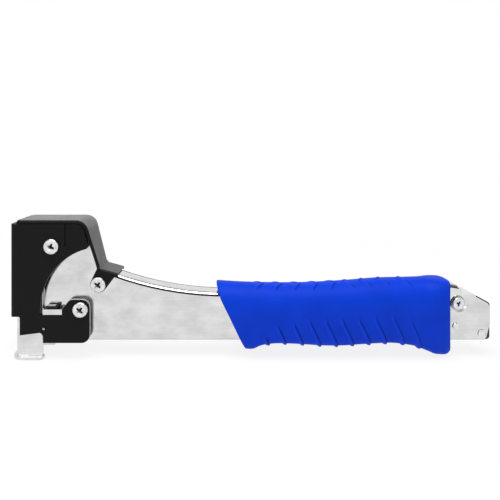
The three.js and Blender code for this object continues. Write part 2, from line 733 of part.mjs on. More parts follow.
function pusher() {
  const outer = magazineHalf - magazineWall - fit;
  const inner = coreWidth / 2 + fit;
  const top = coreTop + fit;
  const skirt = drawerFloor + 1.9; // above the round of the channel's inner corners
  const boss = rodRadius + 1.8;
  const bossTop = rodZ + 2.1;
  const section = outline([
    [-outer, skirt], [-inner, skirt], [-inner, top], [inner, top], [inner, skirt], [outer, skirt],
    [outer, magazineTop], [boss, magazineTop, 1], [boss, bossTop, 1.5], [-boss, bossTop, 1.5],
    [-boss, magazineTop, 1], [-outer, magazineTop],
  ], 45);
  return barX(section, pusherFront, pusherFront + pusherLength)
    .subtract(rodX(rodZ, rodRadius + fit, pusherFront - 1, pusherFront + pusherLength + 1));
}

function pusherRod() {
  const stop = rodX(rodZ, rodRadius + 0.8, rodFront, rodFront + 1.6);
  return rodX(rodZ, rodRadius, rodFront + 1, drawerFront + 6).add(stop);
}

// Spring around the rod, as the hollow cylinder that its coils fill.
function pusherSpring() {
  const front = pusherFront + pusherLength + fit;
  return rodX(rodZ, coilRadius, front, drawerFront - fit)
    .subtract(rodX(rodZ, rodRadius + fit, front - 1, drawerFront + 1));
}

function drawerEnd() {
  const neck = drawerTop - 1.1;
  const foot = drawerRear - drawerFoot;
  const side = outline([
    [drawerFront, drawerFloor], [foot, drawerFloor], [foot, handleBottom + 0.2, 0.6],
    [drawerRear, handleBottom + 0.2, 3], [drawerRear, drawerTop, 1.5], [foot, drawerTop],
    [foot - 1, neck], [drawerFront, neck, 1],
  ], 25);
  const reach = cornerHeight + 2;
  const lipSide = outline([
    [drawerRear - reach, handleBottom + 0.2], [drawerRear, handleBottom + 0.2, 3], [drawerRear, handleBottom + reach],
    [drawerRear - 1, handleBottom + reach], [drawerRear - reach, handleBottom + 1],
  ], 20);
  const clear = outline([
    [drawerRear - reach - 1, handleBottom - fit], [handleLength - cornerRun + fit, handleBottom - fit, 2.2 + fit],
    [handleLength + fit, handleBottom + cornerHeight, 6 + fit], [handleLength + fit, handleBottom + reach + 1],
    [drawerRear - reach - 1, handleBottom + reach + 1],
  ], 12);
  // Lip that shows round the handle's rear corner, across its whole width.
  const lip = plateY(lipSide, -handleHalf, handleHalf)
    .intersect(barX(channelFront(handleHalf - 0.15, handleBottom + 0.15, handleBend - 0.15, drawerTop), drawerFront, handleLength))
    .subtract(plateY(clear, -handleWidth, handleWidth));
  const body = channelFront(drawerWidth / 2, drawerFloor, handleBend - handleWall - magazineWall, drawerTop + 1);
  const tongue = channelFront(footWidth / 2, handleBottom, 0.6, drawerFloor + 3);
  return plateY(side, -drawerWidth / 2, drawerWidth / 2)
    .intersect(barX(body, drawerFront - 1, handleLength).add(barX(tongue, drawerFront - 1, handleLength)))
    .subtract(rodX(rodZ, rodRadius + fit, drawerFront - 1, drawerFront + 6 + fit))
    .add(lip);
}

// ---------------------------------------------------------------- grip

function grip() {
  const placed = (line) => line.map(([back, z]) => new THREE.Vector2(gripRear - back, z));
  const heightOn = (line) => {
    const samples = new THREE.SplineCurve(placed(line)).getPoints(200);
    return (x) => samples.reduce((best, p) => (Math.abs(p.x - x) < Math.abs(best.x - x) ? p : best)).y;
  };
  const topAt = heightOn(gripTopLine);
  const bottomAt = heightOn(gripBottomLine);
  const stations = [];
  for (let back = gripTopLine[0][0] - 6; back > 34; back -= 7.4) stations.push([back, 0]);
  for (let back = 30; back > 5; back -= 4) stations.push([back, 0]);
  stations.push([4.2, 0], [2.8, 0.3], [1.5, 0.9], [0.6, 1.8], [0, 3.2]); // rounded rear end
  const sides = 26;
  const sections = stations.map(([back, inset]) => {
    const top = topAt(gripRear - back) - inset * 0.6;
    const upperSquare = gripUpperSquare + 1.5 * THREE.MathUtils.smoothstep(18 - back, 0, 14);
    const bottom = bottomAt(gripRear - back) + inset;
    const half = gripWidth / 2 - inset * 0.4;
    return Array.from({ length: sides }, (_, k) => {
      const angle = (2 * Math.PI * k) / sides;
      const [c, s] = [Math.cos(angle), Math.sin(angle)];
      const power = 2 / (s > 0 ? upperSquare : gripLowerSquare);
      return new THREE.Vector2(
        half * Math.sign(c) * Math.abs(c) ** power,
        (top + bottom) / 2 + ((top - bottom) / 2) * Math.sign(s) * Math.abs(s) ** power,
      );
    });
  });
  const bowAt = (back, y) => gripBow * (y / (gripWidth / 2)) ** 2 * THREE.MathUtils.smoothstep(24 - back, 0, 24);
  const rings = stations.map(([back], i) =>
    sections[i].map((p) => new THREE.Vector3(gripRear - back - bowAt(back, p.x), p.x, p.y)));
  const frontEdge = placed(gripFrontLine);
  const [far, high, low] = [gripRear - gripTopLine[0][0] - 20, hoodTop, -20];
  const frontCut = [
    new THREE.Vector2(far, high), new THREE.Vector2(far, low), new THREE.Vector2(frontEdge[0].x, low),
    ...frontEdge, new THREE.Vector2(frontEdge[frontEdge.length - 1].x, high),
  ];
  const cavityRear = handleLength - 5;
  const cavity = [
    ...handleTopEdge(far, cavityRear, topRise + fit),
    new THREE.Vector2(cavityRear, handleBottom - fit), new THREE.Vector2(far, handleBottom - fit),
  ];
  const cavitySection = channelFront(handleHalf + fit, handleBottom - fit, handleBend + fit, hoodTop);
  return loft(rings, sections)
    .subtract(plateY(frontCut, -gripWidth, gripWidth))
    .subtract(plateY(cavity, -gripWidth, gripWidth).intersect(barX(cavitySection, far, handleLength)));
}

// ---------------------------------------------------------------- materials

const finish = (color, roughness, metalness) => new THREE.MeshStandardMaterial({ color, roughness, metalness });
const nickel = finish(0xd6d6d4, 0.32, 1);
const blackPaint = finish(0x1c1c1d, 0.38, 0);
const zinc = finish(0xc9ccd0, 0.3, 1);
const steel = finish(0x9a9da0, 0.4, 1);
const blueRubber = finish(0x1238b4, 0.5, 0);
const blackRubber = finish(0x141414, 0.7, 0);
const blackPlastic = finish(0x101011, 0.45, 0);

// ---------------------------------------------------------------- assembly

const tacker = new THREE.Group();
tacker.position.x = -handleLength / 2;

function place(name, body, material) {
  const mesh = new THREE.Mesh(geometryOf(body), material);
  mesh.name = name;
  tacker.add(mesh);
}

function placePair(name, body, material) {
  place(`${name}_left`, mirroredY(body), material);
  place(`${name}_right`, body, material);
}

place("handle_channel", handleChannel(), nickel);
place("handle_top_channel", handleTopChannel(), nickel);
place("grip", grip(), blueRubber);
place("head_channel", headChannel(), blackPaint);
place("hood", hood(), blackPaint);

const screws = [
  ["upper", upperScrewAt, headHalf, pivotSleeveRadius],
  ["lower", lowerScrewAt, headHalf, sleeveRadius],
  ["tab", tabScrewAt, hoodTailWidth / 2, sleeveRadius],
];
for (const [name, at, face, sleeve] of screws) {
  const end = face + screwHeadHeight;
  place(`${name}_screw`, panScrew(at, face + fit, end, screwShank, screwHead, screwHeadHeight - fit), zinc);
  place(`${name}_nut`, hexNut(at, face + fit, nutFlats, nutHeight, screwShank + fit), zinc);
  place(`${name}_sleeve`, tube(at, sleeve, screwShank + fit, -sleeveHalf, sleeveHalf), steel);
}
placePair("upper_spacer", tube(upperScrewAt, washerRadius, screwShank + fit, washerInner, washerOuter), zinc);
placePair("lower_spacer", tube(lowerScrewAt, washerRadius, screwShank + fit, washerInner, washerOuter), zinc);

const rearSeat = handleHalf - dimpleDepth + fit;
place("rear_screw", panScrew(
  rearScrewAt, rearSeat, rearSeat + rearNutHeight + 0.5, rearScrewShank, rearScrewHead, rearScrewHeadHeight,
), zinc);
place("rear_nut", hexNut(rearScrewAt, rearSeat, rearNutFlats, rearNutHeight, rearScrewShank + fit), zinc);
place("rear_sleeve", tube(rearScrewAt, sleeveRadius, rearScrewShank + fit, -sleeveHalf, sleeveHalf), steel);
placePair("front_rivet", rivet(frontRivetAt, frontRivetHead), zinc);
placePair("rear_rivet", rivet(rearRivetAt, rearRivetHead), zinc);
placePair("guide_pin", guidePin(), zinc);

place("nose_shoe", noseShoe(), nickel);
placePair("nose_bumper", bumper(), blackRubber);
place("nose_pin", pin(nosePinAt, nosePinRadius, -noseHalf, noseHalf), steel);
place("lifter", lifter(), steel);
place("lift_pin", pin(liftPinAt, liftPinRadius, -lifterOuter, lifterOuter), steel);
place("rocker_lever", lever(), steel);
place("driver_blade", driverBlade(), steel);

const seat = [springX - seatLength / 2, springX + seatLength / 2];
place("spring_seat", block(seat, [-sleeveHalf, sleeveHalf], [seatBottom, seatBottom + seatHeight]), steel);
place("return_spring", coil(springTurns, springRadius, springWire, springFoot, seatBottom - fit)
  .translate([springX, 0, 0]), zinc);

place("magazine_channel", magazineChannel(), zinc);
place("magazine_core", magazineCore(), steel);
place("pusher", pusher(), steel);
place("pusher_rod", pusherRod(), zinc);
place("pusher_spring", pusherSpring(), zinc);
place("drawer_end", drawerEnd(), blackPlastic);

export default tacker;
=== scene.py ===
"""Looks of a hammer tacker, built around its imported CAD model.

Metres, +Z up. X runs along the handle, Y across it. Sizes that repeat the CAD's are in
millimetres from the head's front face, and at() turns them into places in the model."""

import math

import bmesh
import bpy
import numpy as np
from bpy.props import FloatProperty, FloatVectorProperty, IntProperty, PointerProperty
from mathutils import Matrix, Vector


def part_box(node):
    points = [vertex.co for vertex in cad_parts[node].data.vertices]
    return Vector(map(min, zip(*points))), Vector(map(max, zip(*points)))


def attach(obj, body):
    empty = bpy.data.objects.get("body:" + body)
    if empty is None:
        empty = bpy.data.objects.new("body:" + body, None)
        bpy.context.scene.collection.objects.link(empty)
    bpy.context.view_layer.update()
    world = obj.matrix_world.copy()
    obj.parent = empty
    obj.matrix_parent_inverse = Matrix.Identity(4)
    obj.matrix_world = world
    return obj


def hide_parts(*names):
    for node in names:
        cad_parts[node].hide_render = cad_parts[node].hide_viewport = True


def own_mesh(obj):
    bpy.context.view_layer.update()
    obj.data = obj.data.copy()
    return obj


bl_info = {
    "name": "Hammer tacker",
    "version": (1, 0, 0),
    "blender": (4, 5, 0),
    "location": "View3D > Sidebar > Tacker",
    "description": "Builds the finished look of a hammer tacker around its CAD frame",
    "category": "Object",
}

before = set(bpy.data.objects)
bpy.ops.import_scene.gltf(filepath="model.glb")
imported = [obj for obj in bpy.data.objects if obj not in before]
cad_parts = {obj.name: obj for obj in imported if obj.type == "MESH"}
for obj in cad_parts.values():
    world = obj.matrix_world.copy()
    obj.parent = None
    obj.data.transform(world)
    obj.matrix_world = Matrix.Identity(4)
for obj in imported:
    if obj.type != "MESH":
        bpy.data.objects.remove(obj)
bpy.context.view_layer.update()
MM = 0.001
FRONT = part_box("head_channel")[0].x  # front face of the head
ONE = (1, 1, 1)
AHEAD = (0, 0, 0)  # turn of a piece that points along +Y
BACK = (0, 0, math.pi)  # turn of a piece that points along -Y


def at(x, y, z):
    """A place given in millimetres from the head's front face, in the model's frame."""
    return Vector((FRONT + x * MM, y * MM, z * MM))


def centre(node):
    low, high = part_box(node)
    return (low + high) / 2


def span(node, axis):
    """Length of a CAD node along "x", "y" or "z", in millimetres."""
    low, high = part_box(node)
    return (getattr(high, axis) - getattr(low, axis)) / MM


# ---------------------------------------------------------------- sizes and colours


def measure(name, description, default, least=0.0):
    """A length property, given in millimetres."""
    return FloatProperty(
        name=name, description=description, default=default * MM, min=least * MM, unit="LENGTH")


def colour(name, description, value):
    return FloatVectorProperty(
        name=name, description=description, default=value, subtype="COLOR", min=0.0, max=1.0)


class TackerSizes(bpy.types.PropertyGroup):
    """Sizes of the details that the looks add to the CAD shapes."""

    sheet_edge: measure("Sheet edge", "Rounding of the cut edges of the sheet metal", 0.22)
    fine_edge: measure("Fine edge", "Rounding of the small steel parts", 0.15)
    rib_height: measure("Rib height", "How far the grip's ribs stand out", 0.9)
    rib_width: measure("Rib width", "Width of a rib at its foot", 3.4, 0.001)
    rib_slant: FloatProperty(
        name="Rib slant", description="How far a rib leans forward for each unit that it climbs",
        default=0.5, subtype="FACTOR")
    grip_rings: IntProperty(
        name="Grip rings", description="Rings of faces along the grip", default=420, min=20)
    grip_sides: IntProperty(
        name="Grip sides", description="Faces round the grip", default=128, min=16)
    return_wire: measure("Return spring wire", "Radius of the return spring's wire", 0.5)
    return_turns: FloatProperty(
        name="Return spring turns", description="Turns of the return spring", default=8.5)
    feed_wire: measure("Feed spring wire", "Radius of the staple feed spring's wire", 0.3)
    feed_turns: FloatProperty(
        name="Feed spring turns", description="Turns of the staple feed spring", default=84.5)
    camera_focus: FloatProperty(
        name="Focal length", description="Focal length of the camera, in millimetres",
        default=31.68)


class TackerColours(bpy.types.PropertyGroup):
    """Base colours of the finishes, as linear light."""

    grip_blue: colour("Grip", "Moulded rubber of the grip", (0.0035, 0.042, 0.56))
    paint_black: colour("Paint", "Satin paint of the head and hood", (0.006, 0.006, 0.0065))
    nickel: colour("Nickel", "Plated sheet of the handle and nose", (0.68, 0.68, 0.68))
    zinc: colour("Zinc", "Plated screws, nuts and rivets", (0.77, 0.78, 0.79))
    steel: colour("Steel", "Bare hardened steel of the moving parts", (0.42, 0.43, 0.44))
    rubber_black: colour("Bumpers", "Rubber of the bumpers", (0.012, 0.012, 0.012))
    plastic_black: colour("Plastic", "Moulded end of the drawer", (0.011, 0.011, 0.012))
    stage_white: colour("Stage", "Floor under the tool", (0.86, 0.86, 0.86))


# ---------------------------------------------------------------- finishes

PAINTED_SHADE = (0.006, 0.006, 0.006)  # painted shade: near-black on cut edges, gaps and recesses that catch no light
SHEEN_GREY = (0.15, 0.15, 0.152)  # painted sheen: black paint lightened where it faces the bright room
PALE_GREY = (0.42, 0.42, 0.42)  # pale grey: painted highlight on the ears' cut edges, and the inner sides of the head plates


def new_node(tree, kind, inputs=(), **settings):
    """A new node with these settings.

    inputs maps a socket's name or number to its value, or to the socket that feeds it.
    """
    made = tree.nodes.new(kind)
    for name, value in settings.items():
        setattr(made, name, value)
    for name, value in dict(inputs).items():
        if isinstance(value, bpy.types.NodeSocket):
            tree.links.new(value, made.inputs[name])
        else:
            made.inputs[name].default_value = value
    return made


class Finish:
    """A Principled material and the few procedural nodes that the finishes share."""

    def __init__(self, name, base, **sockets):
        self.material = bpy.data.materials.new(name)
        self.material.use_nodes = True
        self.tree = self.material.node_tree
        self.shader = self.tree.nodes["Principled BSDF"]
        self.shader.inputs["Base Color"].default_value = (*base, 1)
        for socket, value in sockets.items():
            self.shader.inputs[socket.replace("_", " ")].default_value = value
        self.place = self.node("ShaderNodeTexCoord").outputs["Object"]

    def node(self, kind, inputs=(), **settings):
        return new_node(self.tree, kind, inputs, **settings)

    def noise(self, size, detail=4, stretch=ONE, rough=0.55):
        """Noise whose grains are about size millimetres, drawn out by stretch along each axis."""
        mapping = self.node("ShaderNodeMapping", {
            "Vector": self.place, "Scale": [1 / (size * MM * s) for s in stretch]})
        return self.node("ShaderNodeTexNoise", {
            "Vector": mapping.outputs["Vector"], "Scale": 1, "Detail": detail, "Roughness": rough,
        }).outputs["Fac"]

    def cells(self, size):
        """Cell pattern with cells of about size millimetres."""
        return self.node("ShaderNodeTexVoronoi", {
            "Vector": self.place, "Scale": 1 / (size * MM)}).outputs["Distance"]

    def spread(self, source, low, high, start=0.3, end=0.7):
        """source between start and end, carried to a number between low and high."""
        return self.node("ShaderNodeMapRange", {
            "Value": source, "From Min": start, "From Max": end, "To Min": low, "To Max": high,
        }).outputs["Result"]

    def tint(self, source, dark, light, start=0.35, end=0.65):
        """source as a colour between dark and light."""
        node = self.node("ShaderNodeValToRGB", {"Fac": source})
        for stop, position, tone in zip(node.color_ramp.elements, (start, end), (dark, light)):
            stop.position, stop.color = position, (*tone, 1)
        return node.outputs["Color"]

    def sum(self, a, b, share=1.0):
        """a and this share of b."""
        return self.node(
            "ShaderNodeMath", {0: b, 1: share, 2: a}, operation="MULTIPLY_ADD").outputs["Value"]

    def bump(self, source, height, under=None):
        """Relief of source, height millimetres from its lows to its highs."""
        inputs = {"Strength": 1.0, "Distance": height * MM, "Height": source}
        if under is not None:
            inputs["Normal"] = under
        return self.node("ShaderNodeBump", inputs).outputs["Normal"]

    def hollows(self, reach, start, end):
        """0 deep in corners and hollows, 1 on open faces; a corner counts within reach millimetres. The
        finishes use it to paint shade into hollows.
        """
        node = self.node("ShaderNodeAmbientOcclusion", {"Distance": reach * MM}, samples=8)
        return self.spread(node.outputs["AO"], 0.0, 1.0, start, end)

    def painted_mix(self, base_tone, share, shading):
        """shading where share is 0, turning to base_tone where it rises to 1; the finishes use it to
        paint shade and light into the colour.
        """
        return self.node(
            "ShaderNodeMix", {"Factor": share, 6: (*shading, 1), 7: base_tone}, data_type="RGBA").outputs[2]

    def clear_of(self, name):
        """1 where the mesh's attribute of that name is 0, falling to 0 where it rises to 1."""
        mark = self.node("ShaderNodeAttribute", attribute_name=name)
        return self.spread(mark.outputs["Fac"], 1.0, 0.0, 0.0, 1.0)

    def marked(self, name, base_tone, other):
        """clean, turning to other where the mesh's attribute of that name rises to 1."""
        return self.painted_mix(base_tone, self.clear_of(name), other)

    def drive(self, socket, source):
        self.tree.links.new(source, self.shader.inputs[socket])


def shade(base, factor):
    """base made lighter or darker by factor."""
    return tuple(min(1.0, c * factor) for c in base)


def nickel_plate(colours):
    """Bright plated sheet: cloudy, with faint draw lines along the handle and small scuffs, and painted
    shade.
    """
    f = Finish("nickel_plate", colours.nickel, Metallic=1.0, Roughness=0.3, Specular_IOR_Level=0.1)
    clouds = f.noise(9, 5, (1.6, 1, 1))
    lines = f.noise(0.35, 3, (60, 1, 1))
    mottle = f.sum(clouds, lines, 0.25)
    plated = f.tint(mottle, shade(colours.nickel, 0.86), shade(colours.nickel, 1.12), 0.42, 0.82)
    # Painted shade: darker in hollows and corners, and near-black, no longer metal, on faces marked
    # black.
    hollow_shaded = f.painted_mix(plated, f.hollows(1, 0.2, 0.6), (0.015, 0.015, 0.015))
    f.drive("Base Color", f.marked("black", hollow_shaded, PAINTED_SHADE))
    f.drive("Metallic", f.clear_of("black"))
    f.drive("Roughness", f.spread(f.noise(4, 6), 0.1, 0.2))
    f.drive("Normal", f.bump(lines, 0.004, under=f.bump(f.noise(14, 2), 0.06)))
    return f.material


def black_paint(colours):
    """Satin powder paint with a fine orange peel, a painted sheen on the hood's top and pale painted
    highlights on marked edges.
    """
    f = Finish("black_paint", colours.paint_black, Roughness=0.3, Specular_IOR_Level=0.1)
    painted = f.tint(
        f.noise(0.5, 6, rough=0.7), colours.paint_black, shade(colours.paint_black, 2.2), 0.5, 0.85)
    # Painted sheen where marked on the hood, and painted highlight or pale grey where marked on the head.
    f.drive("Base Color", f.marked("bare", f.marked("dusty", painted, SHEEN_GREY), PALE_GREY))
    f.drive("Roughness", f.spread(f.noise(6, 5), 0.3, 0.46))
    f.drive("Normal", f.bump(f.noise(0.45, 2), 0.012))
    return f.material


def blue_rubber(colours):
    """Soft moulded rubber: a fine matt grain under a faint sheen, with a painted highlight on the ribs
    and painted shade at their rear feet.
    """
    f = Finish("blue_grip", colours.grip_blue, Roughness=0.42, Specular_IOR_Level=0.05)
    skin = f.tint(
        f.noise(16, 4), shade(colours.grip_blue, 0.9), shade(colours.grip_blue, 1.08), 0.3, 0.7)
    # Painted highlight: the ribs lighter; painted shade: darker along the ribs' rear feet.
    lightened = f.marked("rib", skin, shade(colours.grip_blue, 1.18))
    f.drive("Base Color", f.marked("rib_foot", lightened, shade(colours.grip_blue, 0.42)))
    f.drive("Roughness", f.spread(f.noise(3, 5), 0.4, 0.54))
    f.drive("Normal", f.bump(f.sum(f.noise(0.3, 2), f.cells(0.5), 0.5), 0.01))
    return f.material


def zinc_plate(colours):
    """Bright zinc on turned and pressed fasteners, with painted shade in hollows and in the marked
    recesses.
    """
    f = Finish("zinc_fasteners", colours.zinc, Metallic=1.0, Roughness=0.27, Specular_IOR_Level=0.1)
    plated = f.tint(f.noise(1.6, 5), shade(colours.zinc, 0.8), shade(colours.zinc, 1.1))
    # Painted shade: darker in hollows, and near-black, no longer metal, on faces marked black.
    hollow_shaded = f.painted_mix(plated, f.hollows(1.2, 0.15, 0.6), (0.01, 0.01, 0.01))
    f.drive("Base Color", f.marked("black", hollow_shaded, PAINTED_SHADE))
    f.drive("Metallic", f.clear_of("black"))
    f.drive("Roughness", f.spread(f.noise(0.9, 4), 0.2, 0.38))
    f.drive("Normal", f.bump(f.noise(0.5, 3), 0.008))
    return f.material


def hardened_steel(colours):
    """Ground, oiled steel of the parts that move."""
    f = Finish("hardened_steel", colours.steel, Metallic=1.0, Roughness=0.34)
    f.drive("Base Color", f.tint(f.noise(3, 5), shade(colours.steel, 0.78), shade(colours.steel, 1.15)))
    f.drive("Roughness", f.spread(f.noise(1.2, 5, (6, 1, 1)), 0.26, 0.48))
    f.drive("Normal", f.bump(f.noise(0.12, 2, (40, 1, 1)), 0.003))
    return f.material


def black_rubber(colours):
    """Dull rubber of the bumpers."""
    f = Finish("black_rubber", colours.rubber_black, Roughness=0.62, Specular_IOR_Level=0.12)
    f.drive("Base Color", f.tint(f.noise(1.5, 5), colours.rubber_black, shade(colours.rubber_black, 2.0)))
    f.drive("Roughness", f.spread(f.noise(0.8, 4), 0.52, 0.74))
    f.drive("Normal", f.bump(f.noise(0.25, 3), 0.015))
    return f.material


def black_plastic(colours):
    """Moulded plastic with a light spark grain."""
    f = Finish("black_plastic", colours.plastic_black, Roughness=0.42, Specular_IOR_Level=0.45)
    f.drive("Base Color", f.tint(f.noise(2, 4), colours.plastic_black, shade(colours.plastic_black, 1.8)))
    f.drive("Roughness", f.spread(f.noise(1.0, 4), 0.36, 0.52))
    f.drive("Normal", f.bump(f.cells(0.3), 0.01))
    return f.material


FINISHES = {
    "nickel_plate": nickel_plate, "black_paint": black_paint, "blue_grip": blue_rubber,
    "zinc_fasteners": zinc_plate, "hardened_steel": hardened_steel, "black_rubber": black_rubber,
    "black_plastic": black_plastic,
}


def finish_of(slot):
    """The material of a slot of the record, made the first time that it is asked for."""
    found = bpy.data.materials.get(slot + "_finish")
    if found is None:
        found = FINISHES[slot](bpy.context.scene.tacker_colours)
        found.name = slot + "_finish"
    return found


# ---------------------------------------------------------------- mesh helpers


def shown(data, name):
    """A new object at the origin."""
    made = bpy.data.objects.new(name, data)
    bpy.context.scene.collection.objects.link(made)
    return made


def mesh_of(name, points, faces):
    mesh = bpy.data.meshes.new(name)
    mesh.from_pydata([tuple(p) for p in points], [], faces)
    mesh.validate()
    return mesh


def tube_faces(rings, sides, closed=True):
    """Faces between rings of sides points each, from the last ring to the first too if closed."""
    return [
        (i * sides + k, i * sides + (k + 1) % sides,
         (i + 1) % rings * sides + (k + 1) % sides, (i + 1) % rings * sides + k)
        for i in range(rings if closed else rings - 1) for k in range(sides)
    ]


def baked(piece):
    """piece with its modifiers worked into a plain mesh."""
    bpy.context.view_layer.update()
    evaluated = piece.evaluated_get(bpy.context.evaluated_depsgraph_get())
    mesh = bpy.data.meshes.new_from_object(evaluated)
    mesh.name = piece.name
    piece.modifiers.clear()
    piece.data = mesh
    return piece


def bevelled(piece, width, segments, angle=30):
    """Adds a rounding of the edges that turn by more than angle degrees."""
    bevel = piece.modifiers.new("edge", "BEVEL")
    bevel.width = width
    bevel.segments = segments
    bevel.limit_method = "ANGLE"
    bevel.angle_limit = math.radians(angle)
    return bevel


def outward(mesh, merge=1e-7):
    """Turns a closed mesh's faces outwards, once points nearer than merge are joined."""
    bm = bmesh.new()
    bm.from_mesh(mesh)
    if merge:
        bmesh.ops.remove_doubles(bm, verts=bm.verts, dist=merge)
    bmesh.ops.recalc_face_normals(bm, faces=bm.faces)
    bm.to_mesh(mesh)
    bm.free()
    return mesh


def smoothed(mesh, degrees=32):
    """mesh shaded smooth, apart from edges that turn by more than degrees."""
    mesh.shade_smooth()
    mesh.set_sharp_from_angle(angle=math.radians(degrees))
    return mesh


def marked(mesh, test, name="black", zero=None):
    """Marks each face as much as test(centre, normal) says.

    The centre is in millimetres from zero, or from the head's front face.
    """
    zero = at(0, 0, 0) if zero is None else zero
    marks = mesh.attributes.get(name) or mesh.attributes.new(name, "FLOAT", "FACE")
    for face, mark in zip(mesh.polygons, marks.data):
        mark.value = max(mark.value, float(test((face.center - zero) / MM, face.normal)))
    return mesh


def dressed(piece, slot, body, *nodes):
    """Gives a finished piece its material and its body, and hides the CAD nodes that it stands for."""
    piece.data.materials.clear()
    piece.data.materials.append(finish_of(slot))
    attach(piece, body)
    if nodes:
        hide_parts(*nodes)
    return piece


WELD = 4e-6  # points nearer than this are one
SLIVER = 2e-6  # edges shorter than this are dropped
FLAT = math.radians(0.6)  # faces that meet at less than this are one
ROUNDED_FROM = 28  # edges that turn by more degrees are rounded
RIM_FLOOR = 32  # the handle's cut edges get a painted shade line above this height
RIM_WIDTH = 0.7


def join_flat(bm, **limits):
    """Joins the faces that lie in one plane."""
    bmesh.ops.dissolve_limit(
        bm, angle_limit=FLAT, verts=bm.verts, edges=bm.edges, use_dissolve_boundaries=False, **limits)


def mark_rim(bm, rim):
    """Marks a strip of the outer flanks black, as a painted shade line, beside the upward edges that
    rim(place) picks.
    """
    black = bm.faces.layers.float.new("black")
    outer = max(v.co.y for v in bm.verts) - 0.02 * MM

    def flanks(floor):
        found = [(f, f.calc_center_median()) for f in bm.faces if abs(f.normal.y) > 0.99]
        return [f for f, middle in found if abs(middle.y) > outer and middle.z > floor * MM]

    sides = flanks(0)
    edges = list({e for f in sides for e in f.edges})
    points = list({v for f in sides for v in f.verts})
    bmesh.ops.bisect_plane(
        bm, geom=sides + edges + points, plane_co=at(0, 0, RIM_FLOOR), plane_no=(0, 0, 1))
    inset = bmesh.ops.inset_region(
        bm, faces=flanks(RIM_FLOOR), thickness=RIM_WIDTH * MM, use_even_offset=True)
    for strip in inset["faces"]:
        beside = [f for e in strip.edges for f in e.link_faces if abs(f.normal.y) < 0.5]
        strip[black] = any(
            f.normal.z > 0.15 and rim((f.calc_center_median() - at(0, 0, 0)) / MM) for f in beside)
        strip.material_index = int(strip[black])
    join_flat(bm, delimit={"MATERIAL"})
    for face in bm.faces:
        face.material_index = 0


def folded(node, name, slot, body, edge, rim=None):
    """A copy of a CAD node with its flat faces joined and its edges rounded."""
    bm = bmesh.new()
    bm.from_mesh(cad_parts[node].data)
    bmesh.ops.remove_doubles(bm, verts=bm.verts, dist=WELD)
    bmesh.ops.dissolve_degenerate(bm, edges=bm.edges, dist=SLIVER)
    join_flat(bm)
    if rim:
        mark_rim(bm, rim)
    bmesh.ops.connect_verts_concave(bm, faces=bm.faces)
    mesh = bpy.data.meshes.new(name)
    bm.to_mesh(mesh)
    bm.free()
    mesh.shade_smooth()
    piece = shown(mesh, name)
    bevelled(piece, edge, segments=3, angle=ROUNDED_FROM).miter_outer = "MITER_ARC"
    level = piece.modifiers.new("level", "WEIGHTED_NORMAL")
    level.weight = 100
    level.keep_sharp = True
    return dressed(baked(piece), slot, body, node)


def ring_point(radius, y, k, sides):
    """Point k of the sides points of a ring about the Y axis."""
    angle = 2 * math.pi * k / sides
    return Vector((radius * math.cos(angle), y, radius * math.sin(angle))) * MM


def rounded(profile, radius, steps=4):
    """A profile whose inner corners are rounded off by radius."""
    made = [profile[0]]
    for before, here, after in zip(profile, profile[1:], profile[2:]):
        here = Vector(here)
        a, b = Vector(before) - here, Vector(after) - here
        reach = min(radius, a.length * 0.45, b.length * 0.45)
        start, end = here + a.normalized() * reach, here + b.normalized() * reach
        for k in range(steps + 1):
            t = k / steps
            made.append(tuple(start * (1 - t) ** 2 + here * 2 * t * (1 - t) + end * t * t))
    return made + [profile[-1]]


def turned_pattern(name, profile, soft=0.2, sides=40):
    """A turned part about the Y axis, whose profile [(radius, y)] runs from axis to axis."""
    points, faces, rings = [], [], []
    for radius, y in rounded(profile, soft):
        count = sides if radius > 1e-9 else 1
        rings.append(range(len(points), len(points) + count))
        points += [ring_point(radius, y, k, sides) for k in range(count)]
    for a, b in zip(rings, rings[1:]):
        for k in range(sides):
            face = [a[k % len(a)], a[(k + 1) % len(a)], b[(k + 1) % len(b)], b[k % len(b)]]
            faces.append(list(dict.fromkeys(face)))
    return outward(mesh_of(name, points, faces))


def ring_pattern(name, outer, bore, length, edge=0.2, sides=48):
    """A tube from y = 0 to y = length."""
    rings = [
        (bore, edge), (bore + edge, 0), (outer - edge, 0), (outer, edge), (outer, length - edge),
        (outer - edge, length), (bore + edge, length), (bore, length - edge),
    ]
    points = [ring_point(radius, y, k, sides) for radius, y in rings for k in range(sides)]
    return outward(mesh_of(name, points, tube_faces(len(rings), sides)))


# ---------------------------------------------------------------- node trees


class Tree:
    """A Geometry Nodes tree that is built node by node, with named inputs."""

    def __init__(self, name, **inputs):
        self.tree = bpy.data.node_groups.new(name, "GeometryNodeTree")
        sockets = [("Geometry", "INPUT", "Geometry")]
        sockets += [(label, "INPUT", kind) for label, kind in inputs.items()]
        for label, side, kind in sockets + [("Geometry", "OUTPUT", "Geometry")]:
            self.tree.interface.new_socket(label, in_out=side, socket_type="NodeSocket" + kind)
        self.entry = self.node("NodeGroupInput")
        self.exit = self.node("NodeGroupOutput")

    def node(self, kind, inputs=(), **settings):
        return new_node(self.tree, kind, inputs, **settings)

    def take(self, label):
        return self.entry.outputs[label]

    def attribute(self, name, kind):
        """A named attribute of the geometry."""
        made = self.node("GeometryNodeInputNamedAttribute", {"Name": name}, data_type=kind)
        return next(o for o in made.outputs if o.enabled and o.name == "Attribute")

    def end(self, geometry):
        """Ends the tree in Realize Instances and Set Material."""
        real = self.node("GeometryNodeRealizeInstances", {"Geometry": geometry})
        painted = self.node("GeometryNodeSetMaterial", {
            "Geometry": real.outputs["Geometry"], "Material": self.take("Material")})
        self.tree.links.new(painted.outputs["Geometry"], self.exit.inputs["Geometry"])
        return self.tree


